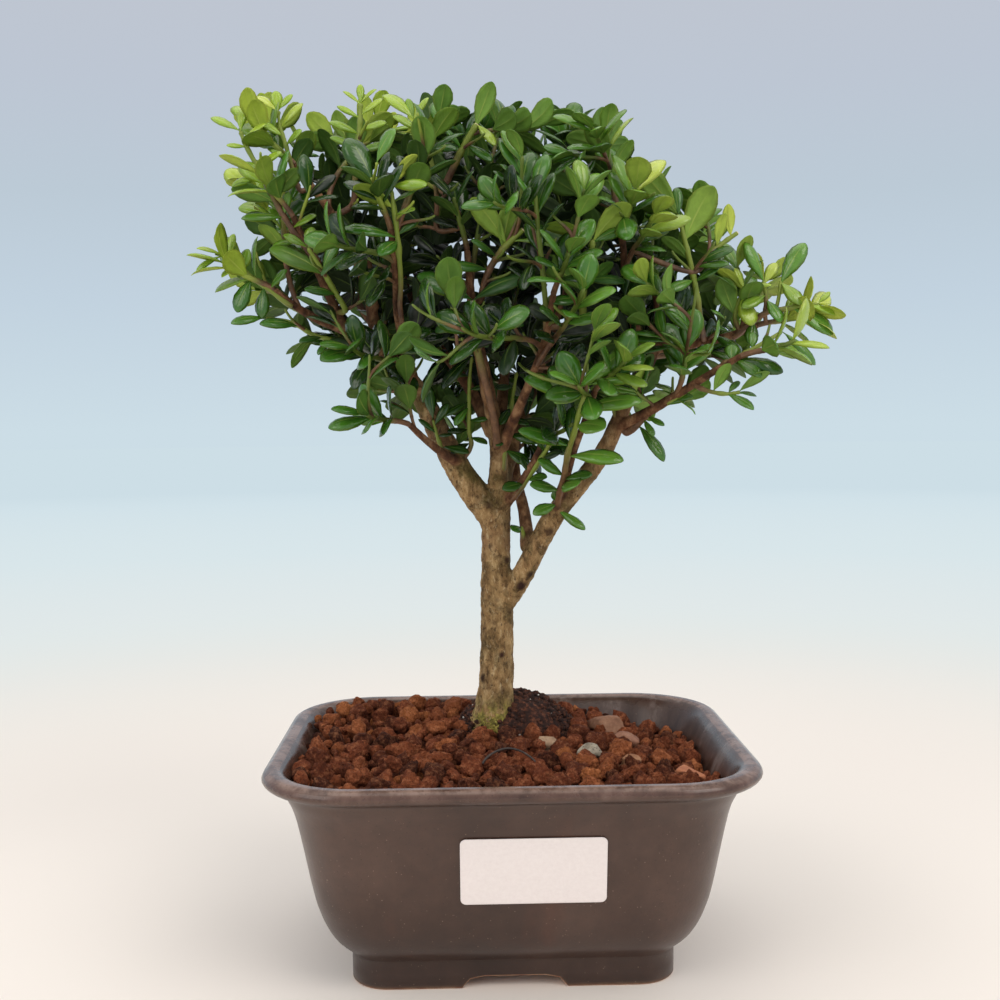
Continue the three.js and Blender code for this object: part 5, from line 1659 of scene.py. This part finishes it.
def add_leaf(shape, leaf, rng, young):
    size = leaf["size"]
    half = leaf.get("half", size * 0.27) * rng.uniform(0.94, 1.1)
    curl = rng.uniform(-0.06, 0.03) * size
    sway = rng.uniform(-0.05, 0.05) * size
    fold = rng.uniform(0.4, 0.95)
    u, v = LEAF_U, LEAF_V
    ridge = np.interp(u, LEAF_ROWS, LEAF_RIDGE) * size
    edge = np.interp(u, LEAF_ROWS, LEAF_EDGE) * size
    x = u * size
    y = v * np.interp(u, LEAF_ROWS, LEAF_HALF) * half + sway * u ** 2 * (1 - u * 0.4)
    groove = 0.24 * np.exp(-(v / 0.1) ** 2) * np.interp(u, [0, 0.2, 0.8, 1], [0, 1, 1, 0])
    z = edge + (ridge - edge) * (1 - fold * np.abs(v) ** 1.7) - groove + curl * u ** 3
    below = z - LEAF_THICKNESS * (1 - 0.5 * v ** 4) - groove * 0.9
    local = np.stack([both_skins(x, x), both_skins(y, y), both_skins(z, below)], 1)
    points = np.clip(leaf["base"] + local @ leaf_axes(leaf), BOX_LOW + 0.05, BOX_HIGH - 0.05)
    middle = on_leaf(leaf, 0.6)
    # The tone is lowered deep inside the canopy as painted shade, and raised towards the right as painted
    # light from the key lamp, with a random spread
    depth, side = smooth(0.4, 0.95, depth_share(middle)), smooth(-35, 45, middle[0])
    tone = min(1, max(0, rng.gauss(0.04 + (0.38 + 0.44 * side) * depth, 0.19)))
    first = shape.count
    values = {"along": both_skins(u, u), "across": both_skins(v, v), "tone": tone, "young": young}
    shape.add(points, [LEAF_UPPER], 0, **values)
    shape.faces.extend((np.array(LEAF_LOWER) + first).tolist())
    shape.slots.extend([1] * len(LEAF_LOWER))


def add_stem(shape, twig, rng, young):
    if "path" in twig:
        path, radii = twig["path"][:, :3], twig["path"][:, 3] * 0.84
    else:
        path = curve_through(twig["curve"], 2)
        radii = np.linspace(*twig["radii"], len(path))
    share = np.linspace(0, 1, len(path))
    if not twig.get("cut"):
        radii[-1] *= 0.55
    for leaf in twig["leaves"]:
        radii = radii + 0.16 * np.exp(-((share - leaf["share"]) / 0.03) ** 2) * (share < 0.97)
    first = twig["path"][0, 3] if "path" in twig else 0.0
    woody = 0.3 * smooth(1.25, 1.6, first) + 0.25 * smooth(1.55, 1.7, first)
    along = np.repeat(share - woody, STEM_SIDES)
    shape.add(*tube(path, radii, STEM_SIDES), 2, along=along, across=0.0, tone=rng.random(), young=young)
    if twig.get("cut"):
        end = path[-1]
        tip = end + unit(end - path[-2]) * 0.25
        stub = tube([end, tip], [radii[-1] * 0.92, radii[-1] * 0.8], 14, start_cap=True)
        shape.add(*stub, 2, along=2.0, across=0.0, tone=0.5, young=1.0)


def youth(twig, leaf, rng):
    """How fresh a leaf is: from 0, old dark green, to 1, lime new growth."""
    draw = rng.random()
    if "young" in leaf:
        return min(1, max(0, 0.1 + 0.92 * leaf["young"] + 0.14 * (draw - 0.5)))
    middle = on_leaf(leaf, 0.6)
    skin = smooth(0.62, 0.92, seen_share(middle))
    if twig["lime"]:
        return min(1, max(0.05, skin * (0.5 + 0.6 * leaf["share"]) + 0.3 * (draw - 0.5)))
    outer = smooth(0.45, 0.95, depth_share(middle))
    front, right = smooth(40, -30, middle[1]), smooth(0, 60, middle[0])
    return max(0, outer * ((0.34 + 0.5 * right) * front * leaf["share"] + 0.36 * (draw - 0.45) + 0.14 * skin))


def build_sprays():
    """One piece for each leafy node of the CAD, and one for each named shoot or limb with more shoots."""
    shapes = {}
    for number, twig in enumerate(TWIGS):
        key = twig["piece"] if twig["piece"] is not None else "limb_" + twig["limb"]
        shape = shapes.setdefault(key, Shape())
        rng = random.Random(1000 + number)
        add_stem(shape, twig, rng, 0.75 if twig["lime"] else 0.45 if "path" in twig else 0.15)
        for leaf in twig["leaves"]:
            add_leaf(shape, leaf, rng, youth(twig, leaf, rng))
    pieces = []
    for key, shape in shapes.items():
        colour, nodes = "green", []
        if isinstance(key, int):
            colour = "lime" if TWIGS[key]["lime"] else "green"
            name, nodes = f"leafy_{colour}_{key + 1:02d}", [f"spray_{colour}_{key + 1:02d}"]
        elif key.startswith("limb_"):
            name = f"shoots_on_{key[5:]}"
        else:
            name = f"shoot_{key}"
        pieces.append((shape.build(name, LEAFY), nodes, colour))
    return pieces


# Everything in its place


def settle(obj, slot, *nodes):
    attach(obj, "root")
    if nodes:
        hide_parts(*nodes)


settle(build_pot(), "glaze", "pot")
settle(build_label(), "label_paper", "label")
coarse_grains, *finer_grains = build_gravel()
settle(coarse_grains, "lava", "lava_gravel")
for piece in finer_grains:
    settle(piece, "lava")
peat_mound, peat_crumbs, white_grains = build_mound()
settle(peat_mound, "peat", "root_ball")
settle(peat_crumbs, "peat")
settle(white_grains, None)
for number, piece in enumerate(build_pebbles(), 1):
    settle(piece, "pebble", f"pebble_{number}")
settle(build_moss(), None)
settle(build_rootlet(), None)
settle(build_wood(), "bark", "trunk_and_limbs")
for piece, nodes, colour in build_sprays():
    settle(piece, "leaf_lime" if colour == "lime" else "leaf_dark", *nodes)


# Stage, light and camera

CAMERA_AHEAD = np.array([0.02648, 0.99791, -0.05896])
CAMERA_ROLL = math.radians(0.55)
SENSOR_WIDTH = 36
FOCAL_SHARE = 1.228
WARM = (1, 0.94, 0.88)
FLOOR_SIDES = 96
FLOOR_STOPS = [
    (0.05, (243, 237, 230)), (0.12, (233, 236, 231)), (0.18, (228, 234, 232)), (0.27, (224, 232, 233)),
    (0.43, (217, 230, 234)), (0.82, (210, 226, 233)), (1.0, (205, 222, 230)),
]
SKY_STOPS = [
    (0.0, (204, 221, 230)), (0.10, (194, 210, 223)), (0.18, (188, 202, 214)), (0.26, (189, 198, 211)),
    (0.34, (191, 197, 208)), (0.6, (212, 212, 214)), (1.0, (232, 229, 226)),
]


def build_floor():
    """A pale floor that passes into the background without an edge."""
    turn = 2 * math.pi * np.arange(FLOOR_SIDES) / FLOOR_SIDES
    rings = [np.stack([r * np.cos(turn), r * np.sin(turn), 0 * turn], 1) for r in (0.4, 0.8, 1.6, 3, 6, 12)]
    faces = [list(range(FLOOR_SIDES)), *ring_faces(len(rings), FLOOR_SIDES)]
    mesh = bpy.data.meshes.new("floor")
    mesh.from_pydata(np.concatenate(rings).tolist(), [], faces)
    look = Look("floor")
    away = look.node("ShaderNodeVectorMath", {0: look.place}, "Value", operation="LENGTH")
    look.set(Base_Color=srgb((242, 235, 227)), Roughness=0.7)
    glow = look.nodes.new("ShaderNodeEmission")
    look.links.new(look.ramp(look.share(away, 3.0), *FLOOR_STOPS), glow.inputs["Color"])
    blend = look.nodes.new("ShaderNodeMixShader")
    look.links.new(look.band(away, 0.22, 0.75), blend.inputs[0])
    look.links.new(look.surface.outputs[0], blend.inputs[1])
    look.links.new(glow.outputs[0], blend.inputs[2])
    look.links.new(blend.outputs[0], look.nodes["Material Output"].inputs["Surface"])
    mesh.materials.append(look.material)
    floor = add_object("floor", mesh)


def build_sky():
    world = bpy.data.worlds.new("studio")
    bpy.context.scene.world = world
    world.use_nodes = True
    nodes, links = world.node_tree.nodes, world.node_tree.links
    place = nodes.new("ShaderNodeTexCoord")
    split = nodes.new("ShaderNodeSeparateXYZ")
    links.new(place.outputs["Generated"], split.inputs[0])
    ramp = nodes.new("ShaderNodeValToRGB")
    links.new(split.outputs["Z"], ramp.inputs[0])
    set_stops(ramp.color_ramp, SKY_STOPS)
    links.new(ramp.outputs[0], nodes["Background"].inputs["Color"])
    nodes["Background"].inputs["Strength"].default_value = 1.0


def area_light(name, at, target, size, power, colour):
    data = bpy.data.lights.new(name, "AREA")
    data.size = size
    data.energy = power
    data.color = colour
    obj = add_object(name, data)
    obj.location = at
    obj.rotation_euler = (Vector(target) - Vector(at)).to_track_quat("-Z", "Y").to_euler()


def build_camera():
    ahead = unit(CAMERA_AHEAD)
    turn_x, turn_y = math.cos(CAMERA_ROLL), math.sin(CAMERA_ROLL)
    right = unit(np.cross(ahead, UP))
    above = np.cross(right, ahead)
    camera_x = right * turn_x - above * turn_y
    camera_y = right * turn_y + above * turn_x
    data = bpy.data.cameras.new("camera")
    data.sensor_width = SENSOR_WIDTH
    data.lens = SENSOR_WIDTH * FOCAL_SHARE
    data.clip_start = 0.01
    camera = add_object("camera", data)
    axes = np.stack([camera_x, camera_y, -ahead], 1)
    camera.matrix_world = Matrix.Translation(Vector(CAMERA_AT * MM + ORIGIN)) @ Matrix(axes.tolist()).to_4x4()
    bpy.context.scene.camera = camera


build_floor()
build_sky()
area_light("key", (0.75, -0.75, 1.1), (0, 0, 0.15), 0.9, 8, WARM)
area_light("fill", (-0.9, -0.7, 0.7), (0, 0, 0.12), 0.9, 5, WARM)
area_light("top", (-0.1, 0.1, 1.3), (0, 0, 0.2), 1.0, 3, (1, 0.96, 0.92))
build_camera()
bpy.context.scene.view_settings.view_transform = "Standard"
